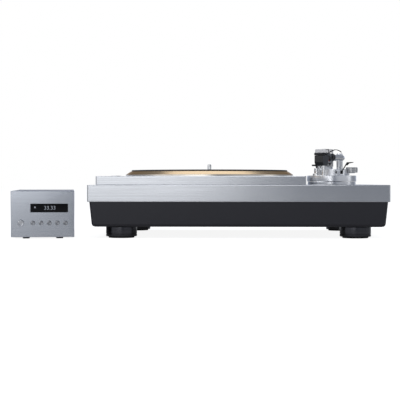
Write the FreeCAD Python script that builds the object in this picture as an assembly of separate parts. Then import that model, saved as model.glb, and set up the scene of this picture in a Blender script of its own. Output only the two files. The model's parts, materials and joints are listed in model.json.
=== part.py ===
import FreeCAD, Part
import math
import os

os.makedirs("parts", exist_ok=True)

# A direct-drive turntable on a heavy plinth, with a round arm pod and a separate control unit.
# Millimetres. X runs to the right, Y to the back and Z up. The soles stand on Z = 0.

V = FreeCAD.Vector
UP = V(0, 0, 1)
SIDE = V(1, 0, 0)
BACK = V(0, 1, 0)

# Clearances
running_gap = 0.05            # radial, between a shaft or pin and the bore it turns or slides in
free_gap = 0.3                # between other faces that move past each other
button_gap = 0.2              # round each button

# Feet
foot_height = 20.6            # from the floor to the underside of the base
sole_height = 2.6
sole_radius = 23.2
collar_radius = 27.7
collar_edge = 0.8
foot_inset_x = 56.2           # foot centre to the plinth's side
foot_inset_y = 46.0           # foot centre to the plinth's front or back
stud_radius = 6.0
stud_hold = 14.0              # stud left in the base at full travel
sole_pin_radius = 9.0
sole_pin_length = 10.0
foot_travel = 10.0

# Plinth
slab_height = 29.7
slab_corner = 2.5
plate_chamfer = 0.8
base_height = 44.2
base_inset = 3.0              # base top edge behind the slab's edge
base_draft = 4.0              # each side leans in this far towards the bottom
base_corner = 6.0
base_round = 5.0              # rounded lower edge
base_wall = 22.0
base_floor = 9.0
post_radius = 31.0
cover_length = 300.0
cover_width = 220.0
cover_height = 3.0
cover_lip = 10.0
cover_gap = 0.5
screw_radius = 2.0
screw_head_radius = 4.0
screw_length = 7.0

# Motor unit
deck_lip = 5.5                # deck past the housing beside the platter
deck_height = 15.7
deck_margin = 13.5            # deck edge behind the slab's front and left edges
platter_offset = 10.5         # platter centre to the right of and behind the deck's centre
well_gap = 3.0                # round the platter
housing_wall = 5.5            # round the well
housing_corner = 20.0
housing_gap = 1.0
housing_floor = 6.0
well_depth = 10.5             # well floor below the slab's top
drum_radius = 96.0
drum_wall = 4.0
drum_depth = 41.0             # drum floor below the well floor

# Platter
platter_radius = 161.5
platter_taper = 9.5           # brass edge slopes in this far
brass_height = 6.3
band_height = 3.4             # aluminium band seen between deck and brass
rim_width = 23.5
rim_depth = 22.2              # aluminium rim below the deck's top
web_height = 9.6
hub_radius = 30.0
mat_margin = 1.5              # brass left bare round the mat
mat_height = 2.5
label_radius = 52.0
label_depth = 0.5
weight_count = 12
weight_radius = 8.0
weight_length = 16.0
weight_inset = 12.5           # weight centres inside the rim

# Motor and bearing
spindle_radius = 3.6
spindle_height = 11.3         # above the mat
spindle_tip = 1.0
spindle_collar_radius = 5.0
shaft_radius = 6.0
bearing_radius = 11.0
bearing_flange_radius = 26.0
bearing_flange_height = 4.0
bearing_shoulder_radius = 14.0
thrust_gap = 0.3
rotor_radius = 88.0
rotor_disc = 4.0
rotor_wall = 4.0
rotor_height = 32.0
magnet_inner = 48.0
magnet_gap = 5.0              # magnets to the can's wall
magnet_height = 6.0
coil_count = 9
coil_outer = 13.0
coil_inner = 5.0
coil_height = 5.0
board_gap = 4.0               # board to the can's wall
board_height = 1.6

# Deck buttons
start_radius = 8.5
start_height = 0.8            # above the deck
start_x = 33.6                # from the deck's left edge
start_y = 26.5                # from the deck's front edge
speed_radius = 4.5
speed_height = 0.5
speed_first = 30.0            # start button to the first speed button
speed_pitch = 18.0
deck_button_travel = 1.0
button_flange = 1.5
button_flange_height = 2.0
button_cap_height = 6.0
button_stem_radius = 3.0

# Tonearm geometry, seen from above
pivot_beyond = 77.5           # pivot to spindle, past the platter's radius
pivot_right_beyond = 66.0     # the same, measured straight to the right
overhang = 15.0               # stylus past the spindle
offset_angle = 21.0
rest_angle = 6.0              # the arm at rest points this far left of straight ahead
tube_height = 50.0            # tube axis above the slab
tube_radius = 5.0
elbow_front = 115.0           # stylus to the front bend, along the headshell's line
elbow_rear = 62.0             # pivot to the rear bend
elbow_front_radius = 45.0
elbow_rear_radius = 70.0
stub_radius = 6.5
stub_start = 20.0
stub_end = 60.0

# Arm pod
pod_radius = 48.9
pod_right = 14.7              # pod centre to the right of the arm pivot
pod_gap = 0.3
pod_margin = 29.9             # pod to the slab's right edge
ring_radius = 47.6
ring_height = 5.8
ring_chamfer = 0.6
carrier_height = 11.5
carrier_chamfer = 0.7
stem_radius = 20.0
stem_hold = 36.0              # stem left in the bushing when the arm is raised
bushing_wall = 6.0
bushing_length = 44.0
arm_height_travel = 6.0

# Arm base on the pod
arm_base_height = 12.8
arm_base_left = 20.0
arm_base_right = 27.0
arm_base_shift = 19.5         # centre of the large end to the right of the pivot
arm_base_chamfer = 1.0
column_radius = 17.0
column_height = 5.0
swing_shaft_radius = 4.0
swing_shaft_length = 14.0
bias_post_x = 29.5            # right of the pivot
bias_post_y = 13.0            # in front of the pivot
bias_post_width = 12.0
bias_post_depth = 14.0
bias_post_height = 31.0
dial_x = 54.8                 # right of the pivot
dial_radius = 11.7
dial_height = 10.6
dial_stem_radius = 2.5
dial_stem_length = 4.0
bracket_height = 1.2
bracket_width = 12.0
bracket_lift = 4.8            # underside above the pod
bracket_post_radius = 1.8
cue_x = 31.7                  # lever hub to the right of the pivot
cue_forward = 31.0            # lever hub in front of the pivot
cue_lift = 6.8                # hub axis above the pod
cue_hub_radius = 3.5
cue_hub_width = 5.0
cue_pin_radius = 1.5
cue_bracket_width = 7.0
cue_stop_radius = 2.6
cue_stop_length = 1.5
cue_rod_radius = 1.1
cue_rise = 17.0
cue_lean = 10.0
cue_paddle_length = 13.0

# Lifter and arm rest
lifter_x = 16.5               # left of the pivot
lifter_y = 25.0               # in front of the pivot
lifter_radius = 5.4
lifter_height = 14.2
lifter_flange_radius = 8.0
lifter_flange_height = 3.8
lifter_rod_radius = 1.6
lifter_bar_width = 3.6
lifter_bar_height = 3.2
lifter_bar_gap = 0.4          # bar top under the level tube when raised
lifter_travel = 4.8
lifter_bar_span = 54.0        # degrees
lifter_bar_start = 5.0        # degrees past the tube, on the side away from the platter
rest_reach = 39.0
rest_post_radius = 3.4
rest_width = 6.0
rest_height = 6.2
rest_left = 8.0
rest_wall = 3.4
rest_wall_height = 9.0
clip_hub_radius = 1.9
clip_outward = 1.1            # clip hinge past the middle of the rest's wall
clip_pin_radius = 0.8
clip_thickness = 1.2
clip_width = 4.0
clip_rise = 5.2               # clip hinge above the tube axis
clip_hook = 4.6

# Gimbal
yoke_width = 36.0
yoke_side = 3.4
yoke_depth = 9.0
yoke_floor = 3.6
yoke_bridge = 6.5
yoke_top = 20.6               # above the tube axis
yoke_disc_radius = 12.0
yoke_chamfer = 1.6
block_radius = 9.0
block_width = 26.0
tilt_pin_radius = 1.5

# Counterweight
dial_ring_radius = 11.0
dial_ring_length = 6.5
weight_drum_radius = 15.8
weight_drum_length = 24.0
weight_drum_step = 2.0
weight_travel = 6.0

# Headshell and cartridge
shell_width = 18.0
shell_nose = 9.0              # ahead of the stylus
shell_length = 51.0
shell_top = 7.0               # above the tube axis
shell_plate = 4.8
shell_neck_radius = 5.6
plug_radius = 4.0
plug_length = 7.0
nut_radius = 7.0
nut_length = 14.0
finger_width = 4.0
finger_thickness = 1.2
finger_reach = 28.0
finger_rise = 8.0
finger_drop = 3.6             # root below the shell's top
cartridge_width = 16.0
cartridge_front = 7.0
cartridge_back = 19.0
cartridge_depth = 18.0
stylus_drop = 4.0
cantilever_radius = 0.4

# Control unit
unit_width = 110.6
unit_depth = 350.0
unit_gap = 22.2               # from the unit's near front corner to the plinth
unit_turn = 8.6               # degrees; the unit's front looks this far to the right
unit_foot_height = 3.0
unit_foot_radius = 6.2
unit_foot_inset_x = 25.9
unit_foot_inset_y = 22.0
unit_height = 81.0
front_panel_height = 8.0
front_chamfer = 0.6
sheet = 2.0
window_left = 34.0            # from the panel's left edge
window_width = 65.6
window_bottom = 43.5          # above the panel's lower edge
window_height = 15.2
window_glass = 2.4
window_lip = 2.5
window_gap = 0.1
button_line = 24.9            # button centres above the panel's lower edge
power_x = 17.3
power_radius = 5.75
first_button_x = 38.3
button_pitch = 14.18
small_radius = 4.0
small_count = 5
unit_button_proud = 2.2
button_dome = 0.9             # cap's flat face inside its rim
unit_button_travel = 1.2
board_thick = 1.6
board_length = 190.0
board_lift = 8.0
transformer_radius = 33.0
transformer_bore = 10.0
transformer_height = 32.0

# Sockets on both backs
socket_proud = 6.0            # past the slab's back
socket_flange_gap = 2.0
phono_radius = 4.15
phono_length = 8.0
phono_flange_radius = 6.5
phono_bore = 1.6
phono_pitch = 20.0
ground_radius = 2.5
ground_knob_radius = 5.0
connector_radius = 8.0
connector_wall = 1.4
connector_flange = 3.0
connector_flange_height = 1.5
connector_depth = 8.0
connector_tail = 10.0
connector_pins = 5
connector_pin_radius = 0.8
connector_pin_circle = 3.6
connector_pin_length = 6.0
inlet_width = 28.0
inlet_height = 20.0
inlet_depth = 22.0
inlet_rim = 3.0
inlet_rim_height = 2.0
inlet_wall = 2.0
inlet_mouth = 16.0
inlet_blade_width = 2.0
inlet_blade_height = 4.0
inlet_blade_length = 14.0
inlet_blade_gap = 3.0         # blade tips behind the rear panel's face

# Sizes that follow from the others
well_radius = platter_radius + well_gap
housing_size = 2 * (well_radius + housing_wall)
deck_size = housing_size + 2 * (deck_lip + platter_offset)
plinth_depth = deck_size + 2 * deck_margin
platter_top_radius = platter_radius - platter_taper
mat_radius = platter_top_radius - mat_margin
weight_circle = platter_radius - weight_inset
board_radius = rotor_radius - rotor_wall - board_gap
magnet_outer = rotor_radius - rotor_wall - magnet_gap
coil_circle = (magnet_inner + magnet_outer) / 2
pivot_to_spindle = platter_radius + pivot_beyond
pivot_right = platter_radius + pivot_right_beyond
effective_length = pivot_to_spindle + overhang
platter_left = deck_margin + deck_size / 2 + platter_offset
plinth_width = platter_left + pivot_right + pod_right + pod_radius + pod_margin
stud_length = foot_travel + stud_hold
turn = math.radians(unit_turn)
unit_spread_x = unit_width * math.cos(turn) + unit_depth * math.sin(turn)
power_face = unit_width - power_x + power_radius - button_gap - button_dome
unit_forward = power_face * math.sin(turn) + unit_button_proud * math.cos(turn)

# Places that follow from the sizes
left_end = -(plinth_width + unit_gap + unit_spread_x) / 2
plinth_x = left_end + unit_spread_x + unit_gap + plinth_width / 2
total_depth = unit_forward + plinth_depth + socket_proud
front_y = -total_depth / 2 + unit_forward
back_y = front_y + plinth_depth
slab_bottom = foot_height + base_height
slab_top = slab_bottom + slab_height
deck_top = slab_top + deck_height
deck_x = plinth_x - plinth_width / 2 + deck_margin + deck_size / 2
deck_y = front_y + deck_margin + deck_size / 2
platter_x = deck_x + platter_offset
platter_y = deck_y + platter_offset
brass_bottom = deck_top + band_height
brass_top = brass_bottom + brass_height
mat_top = brass_top + mat_height
rim_bottom = deck_top - rim_depth
web_bottom = brass_bottom - web_height
well_floor = slab_top - well_depth
drum_floor = well_floor - drum_depth
rotor_top = web_bottom - 10.0
pivot_x = platter_x + pivot_right
pivot_y = platter_y + math.sqrt(pivot_to_spindle ** 2 - pivot_right ** 2)
pod_x = pivot_x + pod_right
pod_y = pivot_y
ring_bottom = slab_top + pod_gap
ring_top = ring_bottom + ring_height
carrier_bottom = ring_top + pod_gap
carrier_top = carrier_bottom + carrier_height
arm_base_top = carrier_top + arm_base_height
column_top = arm_base_top + column_height
tube_z = slab_top + tube_height
unit_corner_x = plinth_x - plinth_width / 2 - unit_gap
unit_x = unit_corner_x - unit_width / 2
unit_bottom = unit_foot_height
unit_top = unit_bottom + unit_height
unit_back = front_y + unit_depth

nodes = {}


def cylinder(x, y, z, radius, height, axis=UP):
    return Part.makeCylinder(radius, height, V(x, y, z), axis)


def tube(x, y, z, outer, inner, height, axis=UP):
    return cylinder(x, y, z, outer, height, axis).cut(cylinder(x, y, z, inner, height, axis))


def block(x0, x1, y0, y1, z0, z1):
    return Part.makeBox(x1 - x0, y1 - y0, z1 - z0, V(x0, y0, z0))


def turned(points, x, y, z=0.0):
    """A solid of revolution about a vertical axis, from (radius, height) points."""
    outline = [V(r, 0, h) for r, h in points]
    face = Part.Face(Part.makePolygon(outline + outline[:1]))
    solid = face.revolve(V(0, 0, 0), UP, 360)
    solid.translate(V(x, y, z))
    return solid


def rounded_outline(x, y, width, depth, corner, z):
    """A rectangle with round corners, centred on (x, y)."""
    half_w, half_d = width / 2, depth / 2
    edges = []
    centres = [(1, 1, 0), (-1, 1, 90), (-1, -1, 180), (1, -1, 270)]
    arcs = []
    for sx, sy, start in centres:
        centre = V(x + sx * (half_w - corner), y + sy * (half_d - corner), z)
        arcs.append(Part.makeCircle(corner, centre, UP, start, start + 90))
    for i, arc in enumerate(arcs):
        following = arcs[(i + 1) % 4]
        edges.append(arc)
        edges.append(Part.makeLine(arc.Vertexes[-1].Point, following.Vertexes[0].Point))
    return Part.Wire(edges)


def rounded_block(x, y, width, depth, corner, z0, z1):
    outline = rounded_outline(x, y, width, depth, corner, z0)
    return Part.Face(outline).extrude(V(0, 0, z1 - z0))


def chamfered_plate(x, y, width, depth, corner, z0, z1, chamfer):
    """A plate whose upper and lower edges are chamfered all round."""
    body = rounded_block(x, y, width, depth, corner, z0, z1)
    rims = [e for e in body.Edges if e.BoundBox.ZLength < 1e-6]
    return body.makeChamfer(chamfer, rims)


def extruded(points, start, direction):
    """A flat outline of 3-D points, extruded along a vector from its own place."""
    outline = [V(*p) for p in points]
    face = Part.Face(Part.makePolygon(outline + outline[:1]))
    face.translate(start)
    return face.extrude(direction)


def group(solids):
    return Part.makeCompound(solids)


def fused(first, *others):
    return first.fuse(list(others)).removeSplitter()


# Plinth

def foot_places():
    dx = plinth_width / 2 - foot_inset_x
    dy = plinth_depth / 2 - foot_inset_y
    middle = front_y + plinth_depth / 2
    return {
        "front_left": (plinth_x - dx, middle - dy),
        "front_right": (plinth_x + dx, middle - dy),
        "rear_left": (plinth_x - dx, middle + dy),
        "rear_right": (plinth_x + dx, middle + dy),
    }


def cover_screw_places():
    dx = cover_length / 2 - cover_lip / 2
    dy = cover_width / 2 - cover_lip / 2
    middle = front_y + plinth_depth / 2
    return [(plinth_x + sx * dx, middle + sy * dy) for sx in (-1, 0, 1) for sy in (-1, 1)]


def phono_places():
    z = foot_height + base_height * 0.55
    return [(plinth_x + plinth_width * 0.3 + i * phono_pitch, z) for i in (-0.5, 0.5)]


def make_plinth_base():
    middle = front_y + plinth_depth / 2
    top_w = plinth_width - 2 * base_inset
    top_d = plinth_depth - 2 * base_inset
    sections = []
    for lift, pull in base_profile():
        sections.append(rounded_outline(plinth_x, middle, top_w - 2 * pull, top_d - 2 * pull,
                                        base_corner, foot_height + lift))
    shell = Part.makeLoft(sections, True, True)
    cavity = rounded_block(plinth_x, middle, top_w - 2 * (base_draft + base_wall),
                           top_d - 2 * (base_draft + base_wall), base_corner,
                           foot_height + base_floor, slab_bottom)
    posts = [cylinder(x, y, foot_height + base_floor / 2, post_radius,
                      base_height - base_floor / 2) for x, y in foot_places().values()]
    body = shell.cut(cavity.cut(group(posts)))
    holes = [cylinder(x, y, foot_height, stud_radius + running_gap, stud_length + free_gap)
             for x, y in foot_places().values()]
    lip = cover_lip
    holes.append(rounded_block(plinth_x, middle, cover_length + cover_gap,
                               cover_width + cover_gap, 5.0, foot_height,
                               foot_height + cover_height))
    holes.append(rounded_block(plinth_x, middle, cover_length - 2 * lip, cover_width - 2 * lip,
                               5.0, foot_height, foot_height + base_floor))
    for x, y in cover_screw_places():
        holes.append(cylinder(x, y, foot_height, screw_radius, screw_length))
    for x, z in phono_places():
        holes.append(cylinder(x, back_y - base_wall * 2, z, phono_radius, base_wall * 2, BACK))
    x, z = motor_socket_place()
    holes.append(cylinder(x, back_y - base_wall * 2, z, connector_radius, base_wall * 2, BACK))
    x, z = ground_place()
    holes.append(cylinder(x, back_y - base_wall * 2, z, ground_radius, base_wall * 2, BACK))
    return body.cut(group(holes))


def base_profile():
    """Heights above the base's underside, and how far the side has drawn in there."""
    rows = []
    for step in range(4):
        turn = math.radians(90 * step / 3)
        lean = base_draft * (1 - base_round * (1 - math.cos(turn)) / base_height)
        rows.append((base_round * (1 - math.cos(turn)), lean + base_round * (1 - math.sin(turn))))
    rows.append((base_height, 0.0))
    return rows


def base_back_face(z):
    """Y of the base's leaning back face at a height."""
    lean = base_draft * (slab_bottom - z) / base_height
    return back_y - base_inset - lean


def motor_socket_place():
    return plinth_x - plinth_width * 0.3, foot_height + base_height * 0.55


def ground_place():
    x, z = phono_places()[0]
    return x - 1.6 * phono_pitch, z


def make_plinth_sockets():
    """Two signal sockets, a ground post and a round motor connector, facing back."""
    end = back_y + socket_proud
    solids = []
    for x, z in phono_places():
        face = base_back_face(z - phono_flange_radius)
        barrel = cylinder(x, face - base_wall, z, phono_radius, end - face + base_wall, BACK)
        flange = cylinder(x, base_back_face(z + phono_flange_radius), z, phono_flange_radius,
                          end - phono_length - base_back_face(z + phono_flange_radius), BACK)
        solids.append(barrel.fuse(flange).cut(cylinder(x, end - phono_length, z, phono_bore,
                                                       phono_length, BACK)))
    x, z = motor_socket_place()
    face = base_back_face(z + connector_radius + connector_flange)
    solids.append(connector(x, z, face, end - socket_flange_gap - face, base_wall))
    x, z = ground_place()
    face = base_back_face(z + ground_knob_radius)
    post = cylinder(x, face - base_wall, z, ground_radius, end - face + base_wall, BACK)
    knob = cylinder(x, face, z, ground_knob_radius, end - socket_flange_gap - face, BACK)
    solids.append(post.fuse(knob))
    return group(solids)


def connector(x, z, face, proud, tail):
    """A round socket that faces back, with its pins; face is Y where its flange sits."""
    inner = connector_radius - connector_wall
    body = cylinder(x, face - tail, z, connector_radius, tail + proud, BACK)
    flange = cylinder(x, face, z, connector_radius + connector_flange,
                      connector_flange_height, BACK)
    hollow = cylinder(x, face + proud - connector_depth, z, inner, connector_depth, BACK)
    pins = []
    for i in range(connector_pins):
        angle = math.radians(360 * i / connector_pins + 90)
        px = x + connector_pin_circle * math.cos(angle)
        pz = z + connector_pin_circle * math.sin(angle)
        pins.append(cylinder(px, face + proud - connector_depth - 1.0, pz,
                             connector_pin_radius, connector_pin_length, BACK))
    return fused(fused(body, flange).cut(hollow), *pins)


def make_bottom_cover():
    middle = front_y + plinth_depth / 2
    plate = rounded_block(plinth_x, middle, cover_length, cover_width, 5.0, foot_height,
                          foot_height + cover_height)
    cuts = []
    for x, y in cover_screw_places():
        cuts.append(screw(x, y))
    return plate.cut(group(cuts))


def screw(x, y):
    """A countersunk screw that points up, its head flush with the underside."""
    head = turned([(0, 0), (screw_head_radius, 0), (screw_radius, cover_height * 0.8),
                   (screw_radius, screw_length), (0, screw_length)], x, y, foot_height)
    return head


def make_foot(x, y):
    """A turned can with its stud, and the damping sole that it turns on."""
    can = turned([(0, sole_height), (collar_radius - collar_edge, sole_height),
                  (collar_radius, sole_height + collar_edge),
                  (collar_radius, foot_height - free_gap - collar_edge),
                  (collar_radius - collar_edge, foot_height - free_gap),
                  (0, foot_height - free_gap)], x, y)
    stud = cylinder(x, y, foot_height - free_gap, stud_radius, stud_length)
    socket = cylinder(x, y, sole_height, sole_pin_radius + running_gap,
                      sole_pin_length + free_gap)
    collar = can.fuse(stud).cut(socket)
    sole = turned([(0, 0), (sole_radius - 0.6, 0), (sole_radius, 0.6),
                   (sole_radius, sole_height), (sole_pin_radius, sole_height),
                   (sole_pin_radius, sole_height + sole_pin_length),
                   (0, sole_height + sole_pin_length)], x, y)
    return collar, sole


def make_plinth_top():
    middle = front_y + plinth_depth / 2
    plate = chamfered_plate(plinth_x, middle, plinth_width, plinth_depth, slab_corner,
                            slab_bottom, slab_top, plate_chamfer)
    opening = rounded_block(platter_x, platter_y, housing_size + 2 * housing_gap,
                            housing_size + 2 * housing_gap, housing_corner, slab_bottom,
                            slab_top)
    bore = cylinder(pod_x, pod_y, slab_bottom, stem_radius + bushing_wall, slab_height)
    return plate.cut(group([opening, bore]))


# Motor unit

def deck_button_places():
    x = deck_x - deck_size / 2 + start_x
    y = deck_y - deck_size / 2 + start_y
    places = {"start_stop_button": (x, y, start_radius, start_height)}
    for i, name in enumerate(["speed_button_33", "speed_button_45", "speed_button_78"]):
        places[name] = (x + speed_first + i * speed_pitch, y, speed_radius, speed_height)
    return places


def make_motor_deck():
    plate = chamfered_plate(deck_x, deck_y, deck_size, deck_size, slab_corner, slab_top,
                            deck_top, plate_chamfer)
    cuts = [cylinder(platter_x, platter_y, slab_top, well_radius, deck_height)]
    for x, y, radius, _ in deck_button_places().values():
        cuts.append(cylinder(x, y, slab_top, radius + button_gap, deck_height))
        cuts.append(cylinder(x, y, slab_top, radius + button_flange + button_gap,
                             deck_height - button_cap_height + start_height))
    return plate.cut(group(cuts))


def make_deck_button(x, y, radius, proud):
    top = deck_top + proud
    shoulder = deck_top - button_cap_height + start_height
    stem_end = slab_top + deck_button_travel + free_gap
    return turned([(0, stem_end), (button_stem_radius, stem_end),
                   (button_stem_radius, shoulder - button_flange_height),
                   (radius + button_flange, shoulder - button_flange_height),
                   (radius + button_flange, shoulder), (radius, shoulder),
                   (radius, top - 0.4), (radius - 0.4, top), (0, top)], x, y)


def make_motor_housing():
    """A square tray that hangs in the slab, with the platter well and the motor drum."""
    tray = rounded_block(platter_x, platter_y, housing_size, housing_size, housing_corner,
                         well_floor - housing_floor, slab_top)
    well = cylinder(platter_x, platter_y, well_floor, well_radius, well_depth)
    drum = cylinder(platter_x, platter_y, drum_floor - housing_floor, drum_radius,
                    drum_depth + housing_floor)
    inside = cylinder(platter_x, platter_y, drum_floor, drum_radius - drum_wall,
                      drum_depth)
    return fused(tray, drum).cut(group([well, inside]))


def make_bearing_housing():
    top = rotor_top - rotor_disc - 3.0
    seat = board_seat()
    flange_top = drum_floor + bearing_flange_height
    return turned([(0, drum_floor), (bearing_flange_radius, drum_floor),
                   (bearing_flange_radius, flange_top), (bearing_shoulder_radius, flange_top),
                   (bearing_shoulder_radius, seat), (bearing_radius, seat),
                   (bearing_radius, top), (shaft_radius + running_gap, top),
                   (shaft_radius + running_gap, flange_top), (0, flange_top)],
                  platter_x, platter_y)


def board_seat():
    """Height of the coil board, midway between the two magnet rings."""
    return rotor_top - rotor_height / 2 - board_height / 2


def make_stator():
    seat = board_seat()
    board = tube(platter_x, platter_y, seat, board_radius, bearing_radius, board_height)
    coils = []
    for i in range(coil_count):
        turn = math.radians(360 * i / coil_count)
        x = platter_x + coil_circle * math.cos(turn)
        y = platter_y + coil_circle * math.sin(turn)
        coils.append(tube(x, y, seat + board_height, coil_outer, coil_inner,
                          (coil_height - board_height) / 2))
        coils.append(tube(x, y, seat - (coil_height - board_height) / 2, coil_outer,
                          coil_inner, (coil_height - board_height) / 2))
    return fused(board, *coils)


def make_rotor():
    """A closed can of two steel discs, with a ring magnet inside each."""
    lower = rotor_top - rotor_height
    shell = turned([(shaft_radius, rotor_top - rotor_disc), (rotor_radius - rotor_wall,
                    rotor_top - rotor_disc),
                    (rotor_radius - rotor_wall, lower + rotor_disc),
                    (bearing_flange_radius + 4.0, lower + rotor_disc),
                    (bearing_flange_radius + 4.0, lower), (rotor_radius, lower),
                    (rotor_radius, rotor_top), (shaft_radius, rotor_top)],
                   platter_x, platter_y)
    upper_ring = tube(platter_x, platter_y, rotor_top - rotor_disc - magnet_height,
                      magnet_outer, magnet_inner, magnet_height)
    lower_ring = tube(platter_x, platter_y, lower + rotor_disc, magnet_outer, magnet_inner,
                      magnet_height)
    return fused(shell, upper_ring, lower_ring)


def make_spindle():
    bottom = drum_floor + bearing_flange_height + thrust_gap
    return turned([(0, bottom), (shaft_radius - 1.5, bottom), (shaft_radius, bottom + 1.0),
                   (shaft_radius, brass_bottom), (spindle_collar_radius, brass_bottom),
                   (spindle_collar_radius, mat_top), (spindle_radius, mat_top),
                   (spindle_radius, mat_top + spindle_height - spindle_tip),
                   (spindle_radius - spindle_tip, mat_top + spindle_height),
                   (0, mat_top + spindle_height)], platter_x, platter_y)


def make_platter_body():
    inner = platter_radius - rim_width
    body = turned([(shaft_radius, rotor_top), (hub_radius, rotor_top),
                   (hub_radius + 6.0, web_bottom), (inner - 6.0, web_bottom),
                   (inner, rim_bottom), (platter_radius - 1.0, rim_bottom),
                   (platter_radius, rim_bottom + 1.0), (platter_radius, brass_bottom),
                   (shaft_radius, brass_bottom)], platter_x, platter_y)
    return body.cut(group(weights(weight_radius)))


def weights(radius):
    solids = []
    for i in range(weight_count):
        turn = math.radians(360 * (i + 0.5) / weight_count)
        solids.append(cylinder(platter_x + weight_circle * math.cos(turn),
                               platter_y + weight_circle * math.sin(turn),
                               rim_bottom, radius, weight_length))
    return solids


def make_platter_top():
    slope = (platter_radius - platter_top_radius) / brass_height
    edge = 0.5
    return turned([(spindle_collar_radius, brass_bottom), (platter_radius, brass_bottom),
                   (platter_top_radius + slope * edge, brass_top - edge),
                   (platter_top_radius - edge, brass_top),
                   (spindle_collar_radius, brass_top)], platter_x, platter_y)


def make_platter_mat():
    return turned([(spindle_collar_radius, brass_top), (mat_radius, brass_top),
                   (mat_radius, mat_top - 0.8), (mat_radius - 0.8, mat_top),
                   (label_radius, mat_top), (label_radius, mat_top - label_depth),
                   (spindle_collar_radius + 6.0, mat_top - label_depth),
                   (spindle_collar_radius + 6.0, mat_top), (spindle_collar_radius, mat_top)],
                  platter_x, platter_y)


# Arm pod

def make_arm_bushing():
    outer = stem_radius + bushing_wall
    return tube(pod_x, pod_y, slab_top - bushing_length, outer, stem_radius + running_gap,
                bushing_length)


def make_height_ring():
    c = ring_chamfer
    return turned([(stem_radius + free_gap, ring_bottom), (ring_radius - c, ring_bottom),
                   (ring_radius, ring_bottom + c), (ring_radius, ring_top - c),
                   (ring_radius - c, ring_top), (stem_radius + free_gap, ring_top)],
                  pod_x, pod_y)


def make_arm_carrier():
    c = carrier_chamfer
    stem_end = slab_top - stem_hold - arm_height_travel
    plate = turned([(0, stem_end), (stem_radius, stem_end), (stem_radius, carrier_bottom),
                    (pod_radius - c, carrier_bottom), (pod_radius, carrier_bottom + c),
                    (pod_radius, carrier_top - c), (pod_radius - c, carrier_top),
                    (0, carrier_top)], pod_x, pod_y)
    x, y = pivot_x - lifter_x, pivot_y - lifter_y
    return plate.cut(cylinder(x, y, carrier_top - 6.0, lifter_rod_radius + running_gap, 6.0))


def hull_outline(left_radius, right_radius, shift, z):
    """Two circles joined by their outer tangents: the small one on the pivot."""
    lean = math.asin((right_radius - left_radius) / shift)
    sin, cos = math.sin(lean), math.cos(lean)
    left, right = V(pivot_x, pivot_y, z), V(pivot_x + shift, pivot_y, z)
    up_left = left + V(-sin * left_radius, cos * left_radius, 0)
    up_right = right + V(-sin * right_radius, cos * right_radius, 0)
    down_left = left + V(-sin * left_radius, -cos * left_radius, 0)
    down_right = right + V(-sin * right_radius, -cos * right_radius, 0)
    return Part.Wire([
        Part.makeLine(up_left, up_right),
        Part.Arc(up_right, right + V(right_radius, 0, 0), down_right).toShape(),
        Part.makeLine(down_right, down_left),
        Part.Arc(down_left, left + V(-left_radius, 0, 0), up_left).toShape(),
    ])


def make_arm_base():
    """The casting on the pod: bearing column, bias post, dial bracket and cue lever ears."""
    outline = hull_outline(arm_base_left, arm_base_right, arm_base_shift, carrier_top)
    body = Part.Face(outline).extrude(V(0, 0, arm_base_height))
    rim = [e for e in body.Edges if abs(e.BoundBox.ZMin - arm_base_top) < 1e-6]
    body = body.makeChamfer(arm_base_chamfer, rim)
    body = body.cut(cylinder(pivot_x + dial_x, pivot_y,
                             carrier_top + bracket_lift + bracket_height,
                             dial_radius + 2 * free_gap, arm_base_height))
    column = turned([(0, arm_base_top - 1.0), (column_radius, arm_base_top - 1.0),
                     (column_radius, column_top - 0.8), (column_radius - 0.8, column_top),
                     (0, column_top)], pivot_x, pivot_y)
    post = rounded_block(pivot_x + bias_post_x, pivot_y - bias_post_y, bias_post_width,
                         bias_post_depth, 5.0, arm_base_top - 1.0,
                         arm_base_top + bias_post_height)
    caps = [e for e in post.Edges
            if abs(e.BoundBox.ZMin - arm_base_top - bias_post_height) < 1e-6]
    post = post.makeChamfer(1.5, caps)
    lift = carrier_top + bracket_lift
    x0, x1 = pivot_x + arm_base_shift, pivot_x + dial_x
    bracket = block(x0, x1, pivot_y - bracket_width / 2, pivot_y + bracket_width / 2, lift,
                    lift + bracket_height)
    pad = cylinder(x1, pivot_y, lift, bracket_width / 2, bracket_height)
    stay = cylinder(x0 + arm_base_right + 2.0, pivot_y, carrier_top, bracket_post_radius,
                    bracket_lift)
    stem = cylinder(x1, pivot_y, lift, dial_stem_radius, bracket_height + dial_stem_length)
    body = fused(body, column, post, bracket, pad, stay, stem, *cue_bracket())
    bore = cylinder(pivot_x, pivot_y, column_top - swing_shaft_length - 1.0,
                    swing_shaft_radius + running_gap, swing_shaft_length + 1.0)
    hx, hy, hz = cue_hub_place()
    pin = cylinder(hx - 3 * cue_bracket_width, hy, hz, cue_pin_radius + running_gap,
                   3 * cue_bracket_width, SIDE)
    return body.cut(group([bore, pin]))


def cue_hub_place():
    return pivot_x + cue_x, pivot_y - cue_forward, carrier_top + cue_lift


def cue_bracket():
    """The bracket for the cue lever's pin, grown out of the base's front."""
    hx, hy, hz = cue_hub_place()
    right = hx - cue_hub_width / 2 - free_gap
    left = right - cue_bracket_width
    arm = block(left, right, hy, pivot_y - arm_base_left / 2, carrier_top, hz + cue_hub_radius)
    foot = block(left, right, hy - cue_hub_radius, hy, carrier_top, hz)
    nose = cylinder(left, hy, hz, cue_hub_radius, cue_bracket_width, SIDE)
    return arm, foot, nose


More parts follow.
